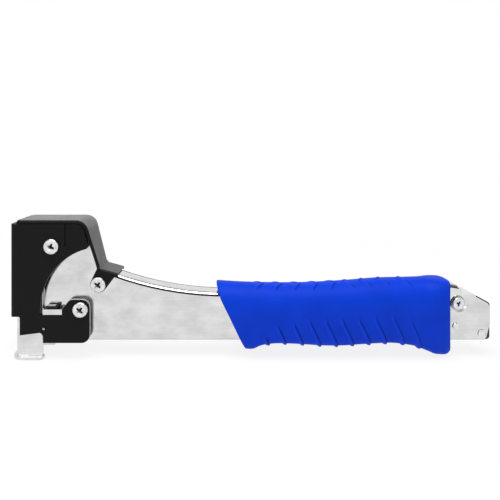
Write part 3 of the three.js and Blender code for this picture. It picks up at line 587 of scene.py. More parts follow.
def grown(piece, tree, **values):
    """piece run through a tree with these inputs, as a plain mesh."""
    modifier = piece.modifiers.new(tree.name, "NODES")
    modifier.node_group = tree
    sockets = {
        s.name: s.identifier for s in tree.interface.items_tree
        if s.item_type == "SOCKET" and s.in_out == "INPUT"
    }
    for label, value in values.items():
        modifier[sockets[label]] = value
    return baked(piece)


def wire_tree():
    """A round wire that follows a line of vertices."""
    found = bpy.data.node_groups.get("wire")
    if found:
        return found
    t = Tree("wire", Radius="Float", Sides="Int", Material="Material")
    line = t.node("GeometryNodeMeshToCurve", {"Mesh": t.take("Geometry")})
    ring = t.node("GeometryNodeCurvePrimitiveCircle", {
        "Resolution": t.take("Sides"), "Radius": t.take("Radius")})
    wire = t.node("GeometryNodeCurveToMesh", {
        "Curve": line.outputs["Curve"], "Profile Curve": ring.outputs["Curve"], "Fill Caps": True})
    smooth = t.node("GeometryNodeSetShadeSmooth", {"Geometry": wire.outputs["Mesh"]})
    return t.end(smooth.outputs["Geometry"])


def seats_tree():
    """One copy of a pattern on each point, turned and scaled as the point says."""
    found = bpy.data.node_groups.get("seats")
    if found:
        return found
    t = Tree("seats", Pattern="Object", Material="Material")
    info = t.node("GeometryNodeObjectInfo", {"Object": t.take("Pattern")})
    copies = t.node("GeometryNodeInstanceOnPoints", {
        "Points": t.take("Geometry"), "Instance": info.outputs["Geometry"],
        "Rotation": t.attribute("turn", "FLOAT_VECTOR"),
        "Scale": t.attribute("size", "FLOAT_VECTOR"),
    })
    return t.end(copies.outputs["Instances"])


def ribs_tree():
    """Raises a skin along its normals by its rib attribute."""
    t = Tree("ribs", Height="Float", Material="Material")
    high = t.node(
        "ShaderNodeMath", {0: t.attribute("rib", "FLOAT"), 1: t.take("Height")}, operation="MULTIPLY")
    normal = t.node("GeometryNodeInputNormal").outputs["Normal"]
    push = t.node("ShaderNodeVectorMath", {0: normal, "Scale": high.outputs[0]}, operation="SCALE")
    moved = t.node("GeometryNodeSetPosition", {
        "Geometry": t.take("Geometry"), "Offset": push.outputs[0]})
    return t.end(moved.outputs["Geometry"])


def wire_along(name, points, radius, sides, slot):
    """A wire through a list of points."""
    mesh = bpy.data.meshes.new(name)
    mesh.from_pydata([tuple(p) for p in points], [(i, i + 1) for i in range(len(points) - 1)], [])
    wire = grown(shown(mesh, name), wire_tree(), Radius=radius, Sides=sides, Material=finish_of(slot))
    outward(wire.data)
    wire.data.shade_smooth()
    return wire


def seat_of(node, turn=AHEAD, rise=0.0):
    """Seat of a copy on a CAD node's axis, rise millimetres from the end that it points away from."""
    low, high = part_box(node)
    start = high.y if turn == BACK else low.y
    return Vector((centre(node).x, start + rise * MM, centre(node).z)), turn, ONE


def seated(name, pattern, seats, slot, body, *nodes):
    """Copies of a pattern mesh at seats [(place, turn, size)], as one finished piece."""
    pattern = shown(pattern, name + "_pattern")
    mesh = bpy.data.meshes.new(name)
    mesh.from_pydata([tuple(place) for place, _, _ in seats], [], [])
    for label, values in (("turn", [s[1] for s in seats]), ("size", [s[2] for s in seats])):
        attribute = mesh.attributes.new(label, "FLOAT_VECTOR", "POINT")
        attribute.data.foreach_set("vector", np.array(values, np.float32).ravel())
    piece = grown(shown(mesh, name), seats_tree(), Pattern=pattern, Material=finish_of(slot))
    for label in ("turn", "size"):
        if label in piece.data.attributes:
            piece.data.attributes.remove(piece.data.attributes[label])
    bpy.data.objects.remove(pattern)
    return dressed(piece, slot, body, *nodes)


# ---------------------------------------------------------------- stage

WHITE = (1, 1, 1, 1)
CAMERA_PLACE = (127.2, -285.7, 130.4)  # from the head's front face
CAMERA_SHIFT = (0.07, -0.2)
MIDDLE = Vector((0, 0, 0.04))  # what the lamps point at
FLOOR_HALF = 6
FLOOR_DROP = 0.0002  # how far the floor lies below the tool
ROOM_LIGHT = 0.25


class TACKER_OT_camera(bpy.types.Operator):
    """Makes the camera, level and square to the side of the tool"""

    bl_idname = "tacker.camera"
    bl_label = "Camera"

    def execute(self, context):
        lens = bpy.data.cameras.new("side_camera")
        lens.lens = context.scene.tacker_sizes.camera_focus
        lens.sensor_width = 36
        lens.shift_x, lens.shift_y = CAMERA_SHIFT
        lens.clip_start, lens.clip_end = 0.01, 50
        camera = shown(lens, "side_camera")
        camera.location = at(*CAMERA_PLACE)
        camera.rotation_euler = (math.radians(90), 0, 0)
        context.scene.camera = camera
        return {"FINISHED"}


def soft_lamp(name, place, size, power):
    """A rectangular lamp that points at the middle of the tool."""
    lamp = bpy.data.lights.new(name, "AREA")
    lamp.shape = "RECTANGLE"
    lamp.size, lamp.size_y = size
    lamp.energy = power
    holder = shown(lamp, name)
    holder.location = place
    holder.rotation_euler = (MIDDLE - Vector(place)).to_track_quat("-Z", "Y").to_euler()


def highest(tree, *sockets):
    """The highest value of several sockets."""
    found = sockets[0]
    for socket in sockets[1:]:
        found = new_node(tree, "ShaderNodeMath", {0: found, 1: socket}, operation="MAXIMUM").outputs[0]
    return found


def empty_tree(holder):
    """The node tree of a material or world, with nothing in it."""
    holder.use_nodes = True
    holder.node_tree.nodes.clear()
    return holder.node_tree


class TACKER_OT_stage(bpy.types.Operator):
    """Lays the pale floor and hangs the soft studio lamps"""

    bl_idname = "tacker.stage"
    bl_label = "Stage"

    def execute(self, context):
        context.scene.view_settings.view_transform = "Standard"
        self.lay_floor(context.scene.tacker_colours.stage_white)
        self.light_room(context.scene)
        soft_lamp("lamp_above", place=(-0.15, -0.25, 1.3), size=(1.4, 0.9), power=24)
        soft_lamp("lamp_front", place=(-0.9, -1.3, 0.75), size=(0.9, 0.9), power=1.5)
        return {"FINISHED"}

    def lay_floor(self, white):
        """A floor that keeps the tool's shadow and meets the backdrop without a line."""
        corners = [(x * FLOOR_HALF, y * FLOOR_HALF, 0) for x, y in ((-1, -1), (1, -1), (1, 1), (-1, 1))]
        mesh = mesh_of("floor", corners, [(0, 1, 2, 3)])
        floor = shown(mesh, "floor")
        floor.location.z = -FLOOR_DROP
        material = bpy.data.materials.new("floor_paper")
        tree = empty_tree(material)
        path = new_node(tree, "ShaderNodeLightPath").outputs
        seen = highest(tree, path["Is Camera Ray"], path["Is Glossy Ray"])
        place = new_node(tree, "ShaderNodeTexCoord").outputs["Object"]
        away = new_node(tree, "ShaderNodeVectorMath", {0: place}, operation="LENGTH")
        edge = new_node(tree, "ShaderNodeMapRange", {
            "Value": away.outputs["Value"],
            "From Min": 0.2, "From Max": 0.5, "To Min": 0.86, "To Max": 1.0,
        })
        share = new_node(
            tree, "ShaderNodeMath", {0: seen, 1: edge.outputs["Result"]}, operation="MULTIPLY")
        paper = new_node(tree, "ShaderNodeBsdfDiffuse", {"Color": (*white, 1)})
        glow = new_node(tree, "ShaderNodeEmission", {"Color": WHITE})
        mix = new_node(tree, "ShaderNodeMixShader", {
            "Fac": share.outputs[0], 1: paper.outputs[0], 2: glow.outputs[0]})
        new_node(tree, "ShaderNodeOutputMaterial", {"Surface": mix.outputs[0]})
        mesh.materials.append(material)

    def light_room(self, scene):
        """White where the backdrop is seen or mirrored, and a plain grey level for the rest."""
        scene.world = bpy.data.worlds.new("studio")
        tree = empty_tree(scene.world)
        path = new_node(tree, "ShaderNodeLightPath").outputs
        seen = highest(
            tree, path["Is Camera Ray"], path["Is Glossy Ray"], path["Is Transmission Ray"])
        toward = new_node(tree, "ShaderNodeTexCoord").outputs["Generated"]
        split = new_node(tree, "ShaderNodeSeparateXYZ", {0: toward})
        ceiling = new_node(tree, "ShaderNodeMapRange", {
            "Value": split.outputs["Z"],
            "From Min": 0.4, "From Max": 0.75, "To Min": 1.0, "To Max": 0.35,
        })
        level = highest(tree, ceiling.outputs["Result"], path["Is Camera Ray"])
        room = new_node(tree, "ShaderNodeBackground", {"Color": WHITE, "Strength": ROOM_LIGHT})
        backdrop = new_node(tree, "ShaderNodeBackground", {"Color": WHITE, "Strength": level})
        mix = new_node(tree, "ShaderNodeMixShader", {
            "Fac": seen, 1: room.outputs[0], 2: backdrop.outputs[0]})
        new_node(tree, "ShaderNodeOutputWorld", {"Surface": mix.outputs[0]})


# ---------------------------------------------------------------- sheet metal


class TACKER_OT_handle(bpy.types.Operator):
    """Makes the folded handle and the channel that closes its top"""

    bl_idname = "tacker.handle"
    bl_label = "Handle"

    def execute(self, context):
        edge = context.scene.tacker_sizes.sheet_edge
        bridge = (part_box("handle_top_channel")[1].x - FRONT) / MM
        screw = (centre("rear_screw") - at(0, 0, 0)) / MM
        dimple = 5.6  # radius of the dimple round the rear screw

        def rim(place):
            """Cut edges that get a painted dark shade line: all but a stretch behind the top channel."""
            return place.z > RIM_FLOOR and not bridge - 0.2 < place.x < bridge + 10.2

        def shade_marks(place, normal):
            """Painted shade: dark cut edges, under the bottom bends and on one side of the rear dimple.
            """
            if abs(place.y) < 6:
                return 0
            if -0.95 < normal.z < -0.7:
                return 0.45
            sunk = math.hypot(place.x - screw.x, place.z - screw.z) < dimple
            return normal.z > 0.15 and rim(place) or sunk and 0.93 * normal.x - 0.37 * normal.z > 0.4

        sheet = folded("handle_channel", "handle_sheet", "nickel_plate", "frame", edge, rim)
        marked(sheet.data, shade_marks)
        top = folded("handle_top_channel", "handle_top_sheet", "nickel_plate", "frame", 0.3 * edge)
        # Painted shade: near-black on the top channel's sides near its rear end, for the gap line there.
        marked(top.data, lambda place, normal: 0.9 * (place.x > bridge - 6 and abs(normal.y) > 0.7))
        return {"FINISHED"}


class TACKER_OT_head(bpy.types.Operator):
    """Makes the painted head and the hood over it"""

    bl_idname = "tacker.head"
    bl_label = "Head and hood"

    def execute(self, context):
        edge = context.scene.tacker_sizes.sheet_edge

        def lightened(place, normal):
            """Painted highlight on the ears' upper and rear cut edges, and pale grey on the inner sides
            of the plates.
            """
            cut = place.x > 36 and place.z < 40 and abs(normal.y) < 0.5 and normal.x + normal.z > 0.4
            return cut or place.x > 20 and place.y * normal.y < -9

        def painted_sheen(place, normal):
            """Painted sheen, lighter paint for reflected light: most on the hood's top, less down its
            slope, least on its tail.
            """
            if abs(normal.y) >= 0.25 or normal.z + normal.x <= 0.6 or place.z <= 52:
                return 0
            return 1 if place.z > 80 else 0.75 if place.x < 54 else 0.6

        marked(folded("head_channel", "head_sheet", "black_paint", "frame", edge).data, lightened, "bare")
        marked(folded("hood", "hood_sheet", "black_paint", "frame", edge).data, painted_sheen, "dusty")
        return {"FINISHED"}


class TACKER_OT_nose(bpy.types.Operator):
    """Makes the sliding nose with its foot, its bumpers and their caps"""

    bl_idname = "tacker.nose"
    bl_label = "Nose"

    def execute(self, context):
        sizes = context.scene.tacker_sizes
        shoe = folded("nose_shoe", "nose_sheet", "nickel_plate", "nose", sizes.sheet_edge)
        # Painted shade: the top face of the nose's bar is marked near-black.
        marked(shoe.data, lambda place, normal: (
            normal.z > 0.5 and abs(place.y) > 9 and 30 < place.z < 33))
        for side in ("left", "right"):
            folded("nose_bumper_" + side, "bumper_" + side, "black_rubber", "nose", 2 * sizes.fine_edge)
            self.cap_bumper(side)
        return {"FINISHED"}

    def cap_bumper(self, side):
        """A thin plate on top of a bumper."""
        low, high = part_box("nose_bumper_" + side)
        inner, outer = (1.2, 0.15) if high.y > 0 else (0.15, 1.2)
        low, high = low + Vector((0.5, inner, 0)) * MM, high - Vector((1.2, outer, 0)) * MM
        corners = ((low.x, low.y), (high.x, low.y), (high.x, high.y), (low.x, high.y))
        points = [(x, y, high.z + lift * MM) for lift in (0.01, 0.4) for x, y in corners]
        faces = [(3, 2, 1, 0), (4, 5, 6, 7), *tube_faces(2, 4, closed=False)]
        name = "bumper_cap_" + side
        piece = shown(mesh_of(name, points, faces), name)
        bevelled(piece, 0.12 * MM, segments=2)
        dressed(baked(piece), "hardened_steel", "nose")


class TACKER_OT_linkage(bpy.types.Operator):
    """Makes the lifter, the lever and the blade that fire a staple, and the return spring's seat"""

    bl_idname = "tacker.linkage"
    bl_label = "Firing linkage"

    def execute(self, context):
        edge = context.scene.tacker_sizes.fine_edge
        folded("lifter", "lifter_arms", "hardened_steel", "nose", edge)
        folded("rocker_lever", "lever", "hardened_steel", "rocker", edge)
        folded("driver_blade", "blade", "hardened_steel", "driver", edge)
        folded("spring_seat", "spring_seat_block", "hardened_steel", "frame", edge)
        return {"FINISHED"}


class TACKER_OT_magazine(bpy.types.Operator):
    """Makes the staple channel, its core, the pusher and the drawer's end"""

    bl_idname = "tacker.magazine"
    bl_label = "Magazine"

    def execute(self, context):
        sizes = context.scene.tacker_sizes
        folded("magazine_channel", "magazine_sheet", "nickel_plate", "frame", sizes.sheet_edge)
        folded("magazine_core", "staple_core", "hardened_steel", "frame", sizes.sheet_edge)
        folded("pusher", "staple_pusher", "hardened_steel", "pusher", sizes.fine_edge)
        folded("drawer_end", "drawer_cap", "black_plastic", "drawer", 2 * sizes.sheet_edge)
        return {"FINISHED"}


# ---------------------------------------------------------------- springs


def closed_coil(turns, radius, low, high, wire, steps=18, dead=1.3):
    """Points of a coil about +Z from low to high whose end turns lie on each other."""
    count = int(turns * steps)
    pitch_dead = 2.05 * wire
    open_turns = turns - 2 * dead
    pitch = (high - low - 2 * wire - 2 * dead * pitch_dead) / open_turns
    points = []
    for i in range(count + 1):
        turn = turns * i / count
        height = (min(turn, dead) + max(0, turn - turns + dead)) * pitch_dead
        height += min(max(turn - dead, 0), open_turns) * pitch
        angle = 2 * math.pi * turn
        points.append(
            Vector((radius * math.cos(angle), radius * math.sin(angle), low + wire + height)))
    return points


class TACKER_OT_springs(bpy.types.Operator):
    """Winds the return spring and the staple feed spring"""

    bl_idname = "tacker.springs"
    bl_label = "Springs"

    def execute(self, context):
        sizes = context.scene.tacker_sizes
        low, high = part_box("return_spring")
        middle = (low + high) / 2
        radius = (high.y - low.y) / 2 - sizes.return_wire
        coil = closed_coil(sizes.return_turns, radius, low.z, high.z, sizes.return_wire)
        coil = [Vector((middle.x, middle.y, 0)) + p for p in coil]
        spring = wire_along("return_spring_wire", coil, sizes.return_wire, 10, "hardened_steel")
        dressed(spring, "hardened_steel", "frame", "return_spring")
        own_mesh(spring)

        low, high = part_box("pusher_spring")
        middle = (low + high) / 2
        radius = (high.y - low.y) / 2 - sizes.feed_wire
        coil = closed_coil(sizes.feed_turns, radius, low.x, high.x, sizes.feed_wire, steps=14, dead=3)
        coil = [Vector((p.z, middle.y + p.y, middle.z + p.x)) for p in coil]
        spring = wire_along("feed_spring_wire", coil, sizes.feed_wire, 8, "hardened_steel")
        dressed(spring, "hardened_steel", "drawer", "pusher_spring")
        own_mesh(spring)
        return {"FINISHED"}


# ---------------------------------------------------------------- fasteners


def cross_recess(name, reach, width, depth, top):
    """Closed mesh of the tapered cross that a driver leaves, opening towards -Y at top."""
    points = []
    for share, y in ((1.0, top - 0.6), (1.0, top), (0.55, top + depth)):
        r, w = reach * share, width * share
        for k in range(4):
            a = math.pi / 2 * k
            out, side = Vector((math.cos(a), math.sin(a))), Vector((-math.sin(a), math.cos(a)))
            corners = (out * r - side * w, out * r + side * w, (out + side) * w * 1.25)
            points += [Vector((p.x, y, p.y)) * MM for p in corners]
    count = len(points) // 3
    faces = tube_faces(3, count, closed=False)
    faces += [tuple(range(count)), tuple(range(2 * count, 3 * count))]
    return shown(outward(mesh_of(name, points, faces)), name)


def cut_by(piece, *cutters):
    """Takes the cutters' closed meshes out of piece."""
    for cutter in cutters:
        modifier = piece.modifiers.new("cut", "BOOLEAN")
        modifier.operation = "DIFFERENCE"
        modifier.solver = "EXACT"
        modifier.object = cutter
    baked(piece)
    for cutter in cutters:
        bpy.data.objects.remove(cutter)


def screw_pattern(name, head, height, shank, length, reach, shading):
    """Cross-recessed pan-head screw along +Y, whose head rests on y = 0.

    head and shank are radii, reach is the cross's share of the head, shading the angle of the side with
    the painted shade.
    """
    piece = shown(turned_pattern(name, [
        (0, -height), (head * 0.8, -height * 0.95), (head * 0.96, -height * 0.72),
        (head, -height * 0.35), (head, -height * 0.05), (head * 0.97, 0), (shank, 0),
        (shank, length - 0.5), (shank - 0.5, length), (0, length),
    ], soft=0.28, sides=48), name)
    arms = cross_recess("arms", head * reach, head * 0.12, height * 0.75, -height)
    ticks = cross_recess("ticks", head * 0.42, head * 0.02, height * 0.12, -height * 0.97)
    ticks.data.transform(Matrix.Rotation(math.radians(45), 4, "Y"))
    cut_by(piece, arms, ticks)
    bevelled(piece, 0.08 * MM, segments=2, angle=38)
    baked(piece)
    side = Vector((math.cos(math.radians(shading)), 0, math.sin(math.radians(shading))))

    def recess_shade(place, normal):
        """Painted shade on the walls and floor of the cross, mostly on one side."""
        sunk = place.y > -height * 0.9 or normal.y > -0.6
        return (math.hypot(place.x, place.z) < head * 0.62 and sunk and place.y < -0.05
                and place.dot(side) > -0.1 * head)

    marked(smoothed(piece.data), recess_shade, zero=Vector())
    mesh = piece.data.copy()
    bpy.data.objects.remove(piece)
    return mesh


def nut_pattern(name, flats, height, bore):
    """Hexagon nut with chamfered corners, from y = 0 to y = height."""
    corner = flats / math.sqrt(3)
    sides = 48
    chamfer = 0.35
    face = flats / 2 * 0.95
    rings = [  # radius, y, whether the ring is a hexagon
        (face, 0, False), (corner, chamfer, True), (corner, height - chamfer, True),
        (face, height, False), (bore + chamfer, height, False), (bore, height - chamfer, False),
        (bore, chamfer, False), (bore + chamfer, 0, False),
    ]
    points = []
    for radius, y, hexed in rings:
        for k in range(sides):
            near = (2 * math.pi * k / sides + math.pi / 6) % (math.pi / 3) - math.pi / 6
            r = min(radius, flats / 2 / math.cos(near)) if hexed else radius
            points.append(ring_point(r, y, k, sides))
    return outward(mesh_of(name, points, tube_faces(len(rings), sides)))


class TACKER_OT_screws(bpy.types.Operator):
    """Turns the three machine screws of the head and the small one at the rear"""

    bl_idname = "tacker.screws"
    bl_label = "Screws"

    def execute(self, context):
        # shading gives the angle of the side of each cross that gets painted shade.
        for node, turn in (("upper_screw", 22), ("lower_screw", 40), ("tab_screw", 38)):
            self.set_screw(
                node, turn, head=4.75, height=2.2, shank=2.45, reach=0.5, shading=45 + turn)
        self.set_screw("rear_screw", 20, head=3.7, height=1.3, shank=1.95, reach=0.45, shading=190)
        return {"FINISHED"}

    def set_screw(self, node, turn, head, height, shank, reach, shading):
        """A screw in place of a CAD node, turned by turn degrees about its axis."""
        name = node + "_turned"
        pattern = screw_pattern(name, head, height, shank, span(node, "y") - height, reach, shading)
        seat = seat_of(node, (0, math.radians(turn), 0), height)
        seated(name, pattern, [seat], "zinc_fasteners", "frame", node)


class TACKER_OT_nuts(bpy.types.Operator):
    """Makes the nuts on the far side and the spacers inside the head"""

    bl_idname = "tacker.nuts"
    bl_label = "Nuts and spacers"

    def execute(self, context):
        turns = {"upper_nut": 10, "lower_nut": 24, "tab_nut": 47}
        seats = [seat_of(node, (0, math.radians(turn), 0)) for node, turn in turns.items()]
        pattern = nut_pattern("head_nuts", flats=8.0, height=2.7, bore=2.5)
        seated("head_nuts", pattern, seats, "zinc_fasteners", "frame", *turns)
        pattern = nut_pattern("rear_nut", flats=7.0, height=2.2, bore=2.0)
        seat = seat_of("rear_nut", (0, 0.3, 0))
        seated("rear_nut_turned", pattern, [seat], "zinc_fasteners", "frame", "rear_nut")
        bore = 2.75
        nodes = [level + "_spacer_" + side for level in ("upper", "lower") for side in ("left", "right")]
        pattern = smoothed(ring_pattern("spacers", outer=4.2, bore=bore, length=span(nodes[0], "y")))
        seated("head_spacers", pattern, [seat_of(n) for n in nodes], "zinc_fasteners", "frame", *nodes)
        for name, bore in (("upper", bore), ("lower", bore), ("tab", bore), ("rear", 2.25)):
            node = name + "_sleeve"
            pattern = smoothed(
                ring_pattern(node, span(node, "x") / 2, bore, span(node, "y"), edge=0.3))
            seated(node + "_tube", pattern, [seat_of(node)], "hardened_steel", "frame", node)
        return {"FINISHED"}


class TACKER_OT_pins(bpy.types.Operator):
    """Turns the rivets, guide pins, nose pin, lift pin and the pusher's rod"""

    bl_idname = "tacker.pins"
    bl_label = "Rivets and pins"

    def execute(self, context):
        self.set_rivets("rear_rivet", head=2.45)
        self.set_rivets("front_rivet", head=2.1)
        self.set_guides()
        for node, edge in (("nose_pin", 0.35), ("lift_pin", 0.3)):
            radius, length = span(node, "x") / 2, span(node, "y")
            pattern = smoothed(turned_pattern(node, [
                (0, 0), (radius - edge, 0), (radius, edge), (radius, length - edge),
                (radius - edge, length), (0, length),
            ], soft=0.12), degrees=50)
            seated(node + "_turned", pattern, [seat_of(node)], "hardened_steel", "nose", node)
        self.set_rod()
        return {"FINISHED"}

    def set_pair(self, stem, pattern):
        """One copy of a pattern on each side, both pointing outwards."""
        nodes = (stem + "_left", stem + "_right")
        seats = [seat_of(node, turn) for node, turn in zip(nodes, (BACK, AHEAD))]
        seated(stem + "s", pattern, seats, "zinc_fasteners", "frame", *nodes)

    def set_rivets(self, stem, head):
        """A pair of rivets with domed heads of radius head."""
        length = span(stem + "_right", "y")
        shank, crown = 1.2, 0.6
        base = length - crown
        self.set_pair(stem, smoothed(turned_pattern(stem + "s", [
            (0, 0), (shank, 0), (shank, base), (head, base), (head, base + crown * 0.25),
            (head * 0.8, base + crown * 0.8), (head * 0.4, length), (0, length),
        ]), degrees=40))

    def set_guides(self):
        """The pair of pins that guide the nose, darkened all over as dark steel, with near-black painted
        shade on their rims.
        """
        length, radius = span("guide_pin_right", "y"), span("guide_pin_right", "x") / 2
        pattern = smoothed(turned_pattern("guide_pins", [
            (0, 0), (radius, 0), (radius, length - 0.3), (radius * 0.6, length), (0, length),
        ], soft=0.15), degrees=40)
        marked(pattern, lambda place, normal: (
            1 if math.hypot(place.x, place.z) > radius * 0.6 else 0.55), zero=Vector())
        self.set_pair("guide_pin", pattern)

    def set_rod(self):
        """The rod along the magazine that carries the feed spring, with its stop at the front."""
        length, stop = span("pusher_rod", "x"), span("pusher_rod", "z") / 2
        radius, thick, edge = 1.2, 1.6, 0.3
        pattern = smoothed(turned_pattern("rod", [
            (0, 0), (stop - edge, 0), (stop, edge), (stop, thick - edge), (stop - edge, thick),
            (radius, thick), (radius, length), (0, length),
        ], soft=0.1), degrees=40)
        pattern.transform(Matrix.Rotation(math.radians(-90), 4, "Z"))
        middle = centre("pusher_rod")
        seat = (Vector((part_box("pusher_rod")[0].x, middle.y, middle.z)), AHEAD, ONE)
        seated("feed_rod", pattern, [seat], "hardened_steel", "drawer", "pusher_rod")


# ---------------------------------------------------------------- grip

GRIP_REAR = 277.5  # rear end of the grip, from the head's front face
GRIP_BOW = 5.4  # how far the rear end's flanks lie in front of its middle
GRIP_HALF = 14  # half of the grip's width
GRIP_LIP = 0.9  # rounding of the front edge
GRIP_TOP = [
    (158, 45.9), (149.9, 45.4), (136, 44.5), (121, 43.95), (99, 43.75), (63, 45.45), (45, 46.9),
    (27, 47.4), (12, 47.8), (0, 47.5),
]
GRIP_BOTTOM = [
    (158, 4.3), (130.7, 4.2), (126, 4.3), (122, 6.1), (113.1, 7.6), (101.7, 7.5), (91.6, 6.9),
    (81.5, 6.3), (70.2, 6.3), (60.1, 6.95), (48.7, 7.65), (38.6, 7.95), (28.5, 6.8), (23.5, 5.8),
    (18.4, 3.9), (14.6, 2.5), (10.8, 1.0), (7, 0.6), (0, 0.6),
]
GRIP_FRONT = [(130.3, 3), (136.1, 15.5), (141.2, 26.7), (146.7, 37.8), (149.9, 47)]
LOWER_RIBS = (  # place of each rib's foot, and how far it climbs
    (160.8, 6.2), (171.4, 11.9), (182.3, 14.3), (193.2, 16), (203.7, 17.4), (213.8, 17.4), (224.2, 16.9),
    (234.4, 16.9), (245.5, 17), (255.9, 17),
)
UPPER_RIBS = (154.4, 166.4, 178.4, 190.2, 201.6, 212.3, 223.1, 234.5, 247.8)


def spline(line, x):
    """Height of a smooth line through (distance in front of the grip's rear end, height) at x."""
    xs = np.array([GRIP_REAR - back for back, _ in line])
    zs = np.array([z for _, z in line])
    i = np.clip(np.searchsorted(xs, x) - 1, 0, len(xs) - 2)
    slopes = np.gradient(zs, xs)
    h = xs[i + 1] - xs[i]
    t = np.clip((x - xs[i]) / h, 0, 1)
    return ((2 * t**3 - 3 * t**2 + 1) * zs[i] + (t**3 - 2 * t**2 + t) * h * slopes[i]
            + (3 * t**2 - 2 * t**3) * zs[i + 1] + (t**3 - t**2) * h * slopes[i + 1])


def fade(value, start, end):
    t = np.clip((value - start) / (end - start), 0, 1)
    return t * t * (3 - 2 * t)


def oval(angle, half, bottom, top, power):
    """(y, z) on a squared oval; the higher its power, the squarer it is."""
    c, s = np.cos(angle), np.sin(angle)
    y = half * np.sign(c) * np.abs(c) ** (2 / power)
    return y, (top + bottom) / 2 + (top - bottom) / 2 * np.sign(s) * np.abs(s) ** (2 / power)


def grip_section(x, angle, upper, lower):
    """(y, z) of the grip's skin at x and angle, drawn in by upper at the top and lower at the bottom."""
    half = GRIP_HALF - (upper + lower) * 0.25
    power = np.where(np.sin(angle) > 0, 2.5 + 1.5 * fade(x, GRIP_REAR - 18, GRIP_REAR - 4), 3.6)
    return oval(angle, half, spline(GRIP_BOTTOM, x) + lower, spline(GRIP_TOP, x) - upper, power)


def ridge(distance, width):
    """A ridge that rises gently at the front and drops off at the rear."""
    half = width / 2
    return fade(distance, -half, half * 0.2) * (1 - fade(distance, half * 0.55, half))


def band(distance, *limits):
    """1 between the inner two of four limits, fading to 0 at the outer two."""
    return fade(distance, *limits[:2]) * (1 - fade(distance, *limits[2:]))


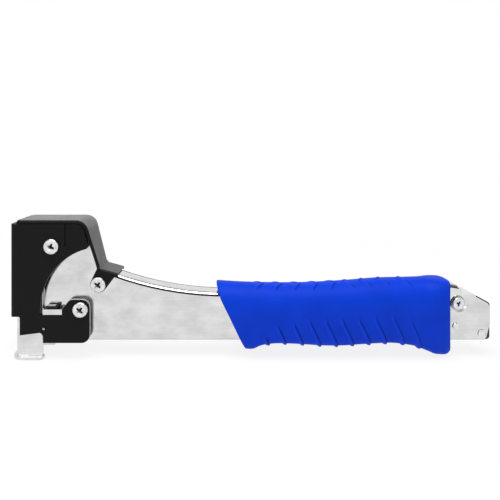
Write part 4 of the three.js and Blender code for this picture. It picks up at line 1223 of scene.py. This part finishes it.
class TACKER_OT_grip(bpy.types.Operator):
    """Moulds the grip: a sleeve with slanted ribs below and short ones across its back"""

    bl_idname = "tacker.grip"
    bl_label = "Grip"

    def execute(self, context):
        sizes = context.scene.tacker_sizes
        sides = sizes.grip_sides
        angle = (np.arange(sides) + 0.5) * 2 * math.pi / sides
        front = self.front_of(angle)
        rows, ribs, feet = [], [], []
        for along in self.stations(sizes.grip_rings):
            x, upper, lower = self.place_along(along, front)
            y, z = grip_section(x, angle, upper, lower)
            x = x - self.bow_at(x, y)
            rows.append(np.stack([x, y, z], 1))
            raised, foot = self.ribs_at(x, y, z, sizes)
            ribs.append(raised * (upper < 0.6))
            feet.append(foot * (upper < 0.6))
        roof = self.roof_line()
        for along in (1.0, 0.97, *np.linspace(0.9, 0.1, 12), 0.03, 0.0):
            rows.append(self.bore_at(along, angle, roof))
            ribs.append(np.zeros(sides))
            feet.append(np.zeros(sides))
        points = [at(*p) for row in rows for p in row]
        mesh = mesh_of("grip_sleeve", points, tube_faces(len(rows), sides))
        for name, values in (("rib", ribs), ("rib_foot", feet)):
            attribute = mesh.attributes.new(name, "FLOAT", "POINT")
            attribute.data.foreach_set("value", np.concatenate(values).astype(np.float32))
        outward(mesh, merge=0)
        mesh.shade_smooth()
        piece = grown(shown(mesh, "grip_sleeve"), ribs_tree(), Height=sizes.rib_height,
                      Material=finish_of("blue_grip"))
        smoothed(piece.data, degrees=50)
        dressed(piece, "blue_grip", "frame", "grip")
        return {"FINISHED"}

    def edge_at(self, z):
        """Place of the slanted front edge at a height."""
        return GRIP_REAR - np.interp(z, [z for _, z in GRIP_FRONT], [back for back, _ in GRIP_FRONT])

    def front_of(self, angle):
        """Where the slanted front edge cuts each line of the skin."""
        x = np.full(len(angle), GRIP_REAR - 138.0)
        for _ in range(12):
            x = self.edge_at(grip_section(x, angle, 0, 0)[1])
        return x

    def roof_line(self):
        """Highest points of the channel inside the grip, as (x, z) in millimetres."""
        tops = {}
        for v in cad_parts["handle_top_channel"].data.vertices:
            x = round((v.co.x - FRONT) / MM, 1)
            tops[x] = max(tops.get(x, 0), v.co.z / MM)
        return np.array(sorted((x, z) for x, z in tops.items() if z > 37)).T

    def stations(self, count):
        """Distances from the front edge, as ("front", mm), shares of the length, or ("rear", mm)."""
        lip = [("front", d) for d in (0, 0.1, 0.3, 0.6, GRIP_LIP)]
        run = [("share", s) for s in np.linspace(0, 1, count)]
        heel = [("rear", d) for d in (5.4, 4.5, 3.8, 3, 2.2, 1.5, 0.9, 0.45, 0.15, 0.04, 0)]
        return lip + run + heel

    def place_along(self, station, front):
        """x of a ring's points, and how far the ring is drawn in at its top and at its bottom."""
        kind, value = station

        def drawn(run, depth):
            return depth * (1 - math.sqrt(1 - max(0.0, 1 - value / run) ** 2))

        if kind == "front":
            return front + value, drawn(GRIP_LIP, GRIP_LIP), drawn(GRIP_LIP, GRIP_LIP)
        if kind == "share":
            start, end = front + 1.3, GRIP_REAR - 6
            return start + (end - start) * value, 0.0, 0.0
        return np.full(len(front), GRIP_REAR - value), drawn(3.2, 1.3), drawn(4.2, 3.4)

    def bow_at(self, x, y):
        """How far the bowed rear end draws a point of the skin forward."""
        return GRIP_BOW * (y / GRIP_HALF) ** 2 * fade(x, GRIP_REAR - 24, GRIP_REAR)

    def ribs_at(self, x, y, z, sizes):
        """Share of the full rib height at points of the skin, and 1 along the ribs' rear feet, where
        shade is painted.
        """
        bottom, top = spline(GRIP_BOTTOM, x), spline(GRIP_TOP, x)
        width = sizes.rib_width / MM
        raised, dark, back = np.zeros(len(x)), np.zeros(len(x)), np.zeros(len(x))
        for foot, tall in LOWER_RIBS:
            distance = x - foot + sizes.rib_slant * (z - bottom)
            within = 1 - fade(z - bottom, tall, tall + 1.2)
            raised = np.maximum(raised, ridge(distance, width) * within)
            dark = np.maximum(
                dark, band(distance, 0.2 * width, 0.42 * width, 0.5 * width, 0.72 * width) * within)
        high = 1 - fade(top - z, 1.3, 2.6)
        for i, peak in enumerate(UPPER_RIBS):
            lean = 0.7 if i < 5 else -0.7
            distance = x - peak + lean * (np.abs(y) - 5)
            back = np.maximum(back, ridge(distance, width * 0.7) * high)
            dark = np.maximum(
                dark, band(distance, 0.2 * width, 0.34 * width, 0.4 * width, 0.6 * width) * high)
        return np.maximum(raised, back * 0.45), dark

    def bore_at(self, along, angle, roof):
        """Ring of the grip's bore, just outside the handle; along runs from the front to the rear end."""
        z = np.full(len(angle), 25.0)
        for _ in range(12):
            x = self.edge_at(z) + (GRIP_REAR - self.edge_at(z)) * along
            y, z = oval(angle, 8.6, 10.1, np.interp(x, *roof) + 0.3, 14)
        return np.stack([x - self.bow_at(x, y), y, z], 1)


# ---------------------------------------------------------------- panel and run

STEPS = (
    TACKER_OT_camera, TACKER_OT_stage, TACKER_OT_handle, TACKER_OT_grip, TACKER_OT_head,
    TACKER_OT_screws, TACKER_OT_nuts, TACKER_OT_pins, TACKER_OT_nose, TACKER_OT_linkage,
    TACKER_OT_springs, TACKER_OT_magazine,
)


class TACKER_PT_panel(bpy.types.Panel):
    """Lists the tacker's sizes, colours and steps"""

    bl_label = "Hammer tacker"
    bl_idname = "TACKER_PT_panel"
    bl_space_type = "VIEW_3D"
    bl_region_type = "UI"
    bl_category = "Tacker"

    def draw(self, context):
        for group in (context.scene.tacker_sizes, context.scene.tacker_colours):
            box = self.layout.box()
            for name in group.__annotations__:
                box.prop(group, name)
        for step in STEPS:
            self.layout.operator(step.bl_idname)


CLASSES = (TackerSizes, TackerColours, *STEPS, TACKER_PT_panel)


def register():
    for cls in CLASSES:
        bpy.utils.register_class(cls)
    bpy.types.Scene.tacker_sizes = PointerProperty(type=TackerSizes)
    bpy.types.Scene.tacker_colours = PointerProperty(type=TackerColours)


def unregister():
    del bpy.types.Scene.tacker_colours
    del bpy.types.Scene.tacker_sizes
    for cls in reversed(CLASSES):
        bpy.utils.unregister_class(cls)


def main():
    register()
    for step in STEPS:
        group, name = step.bl_idname.split(".")
        getattr(getattr(bpy.ops, group), name)()


if __name__ == "__main__":
    main()
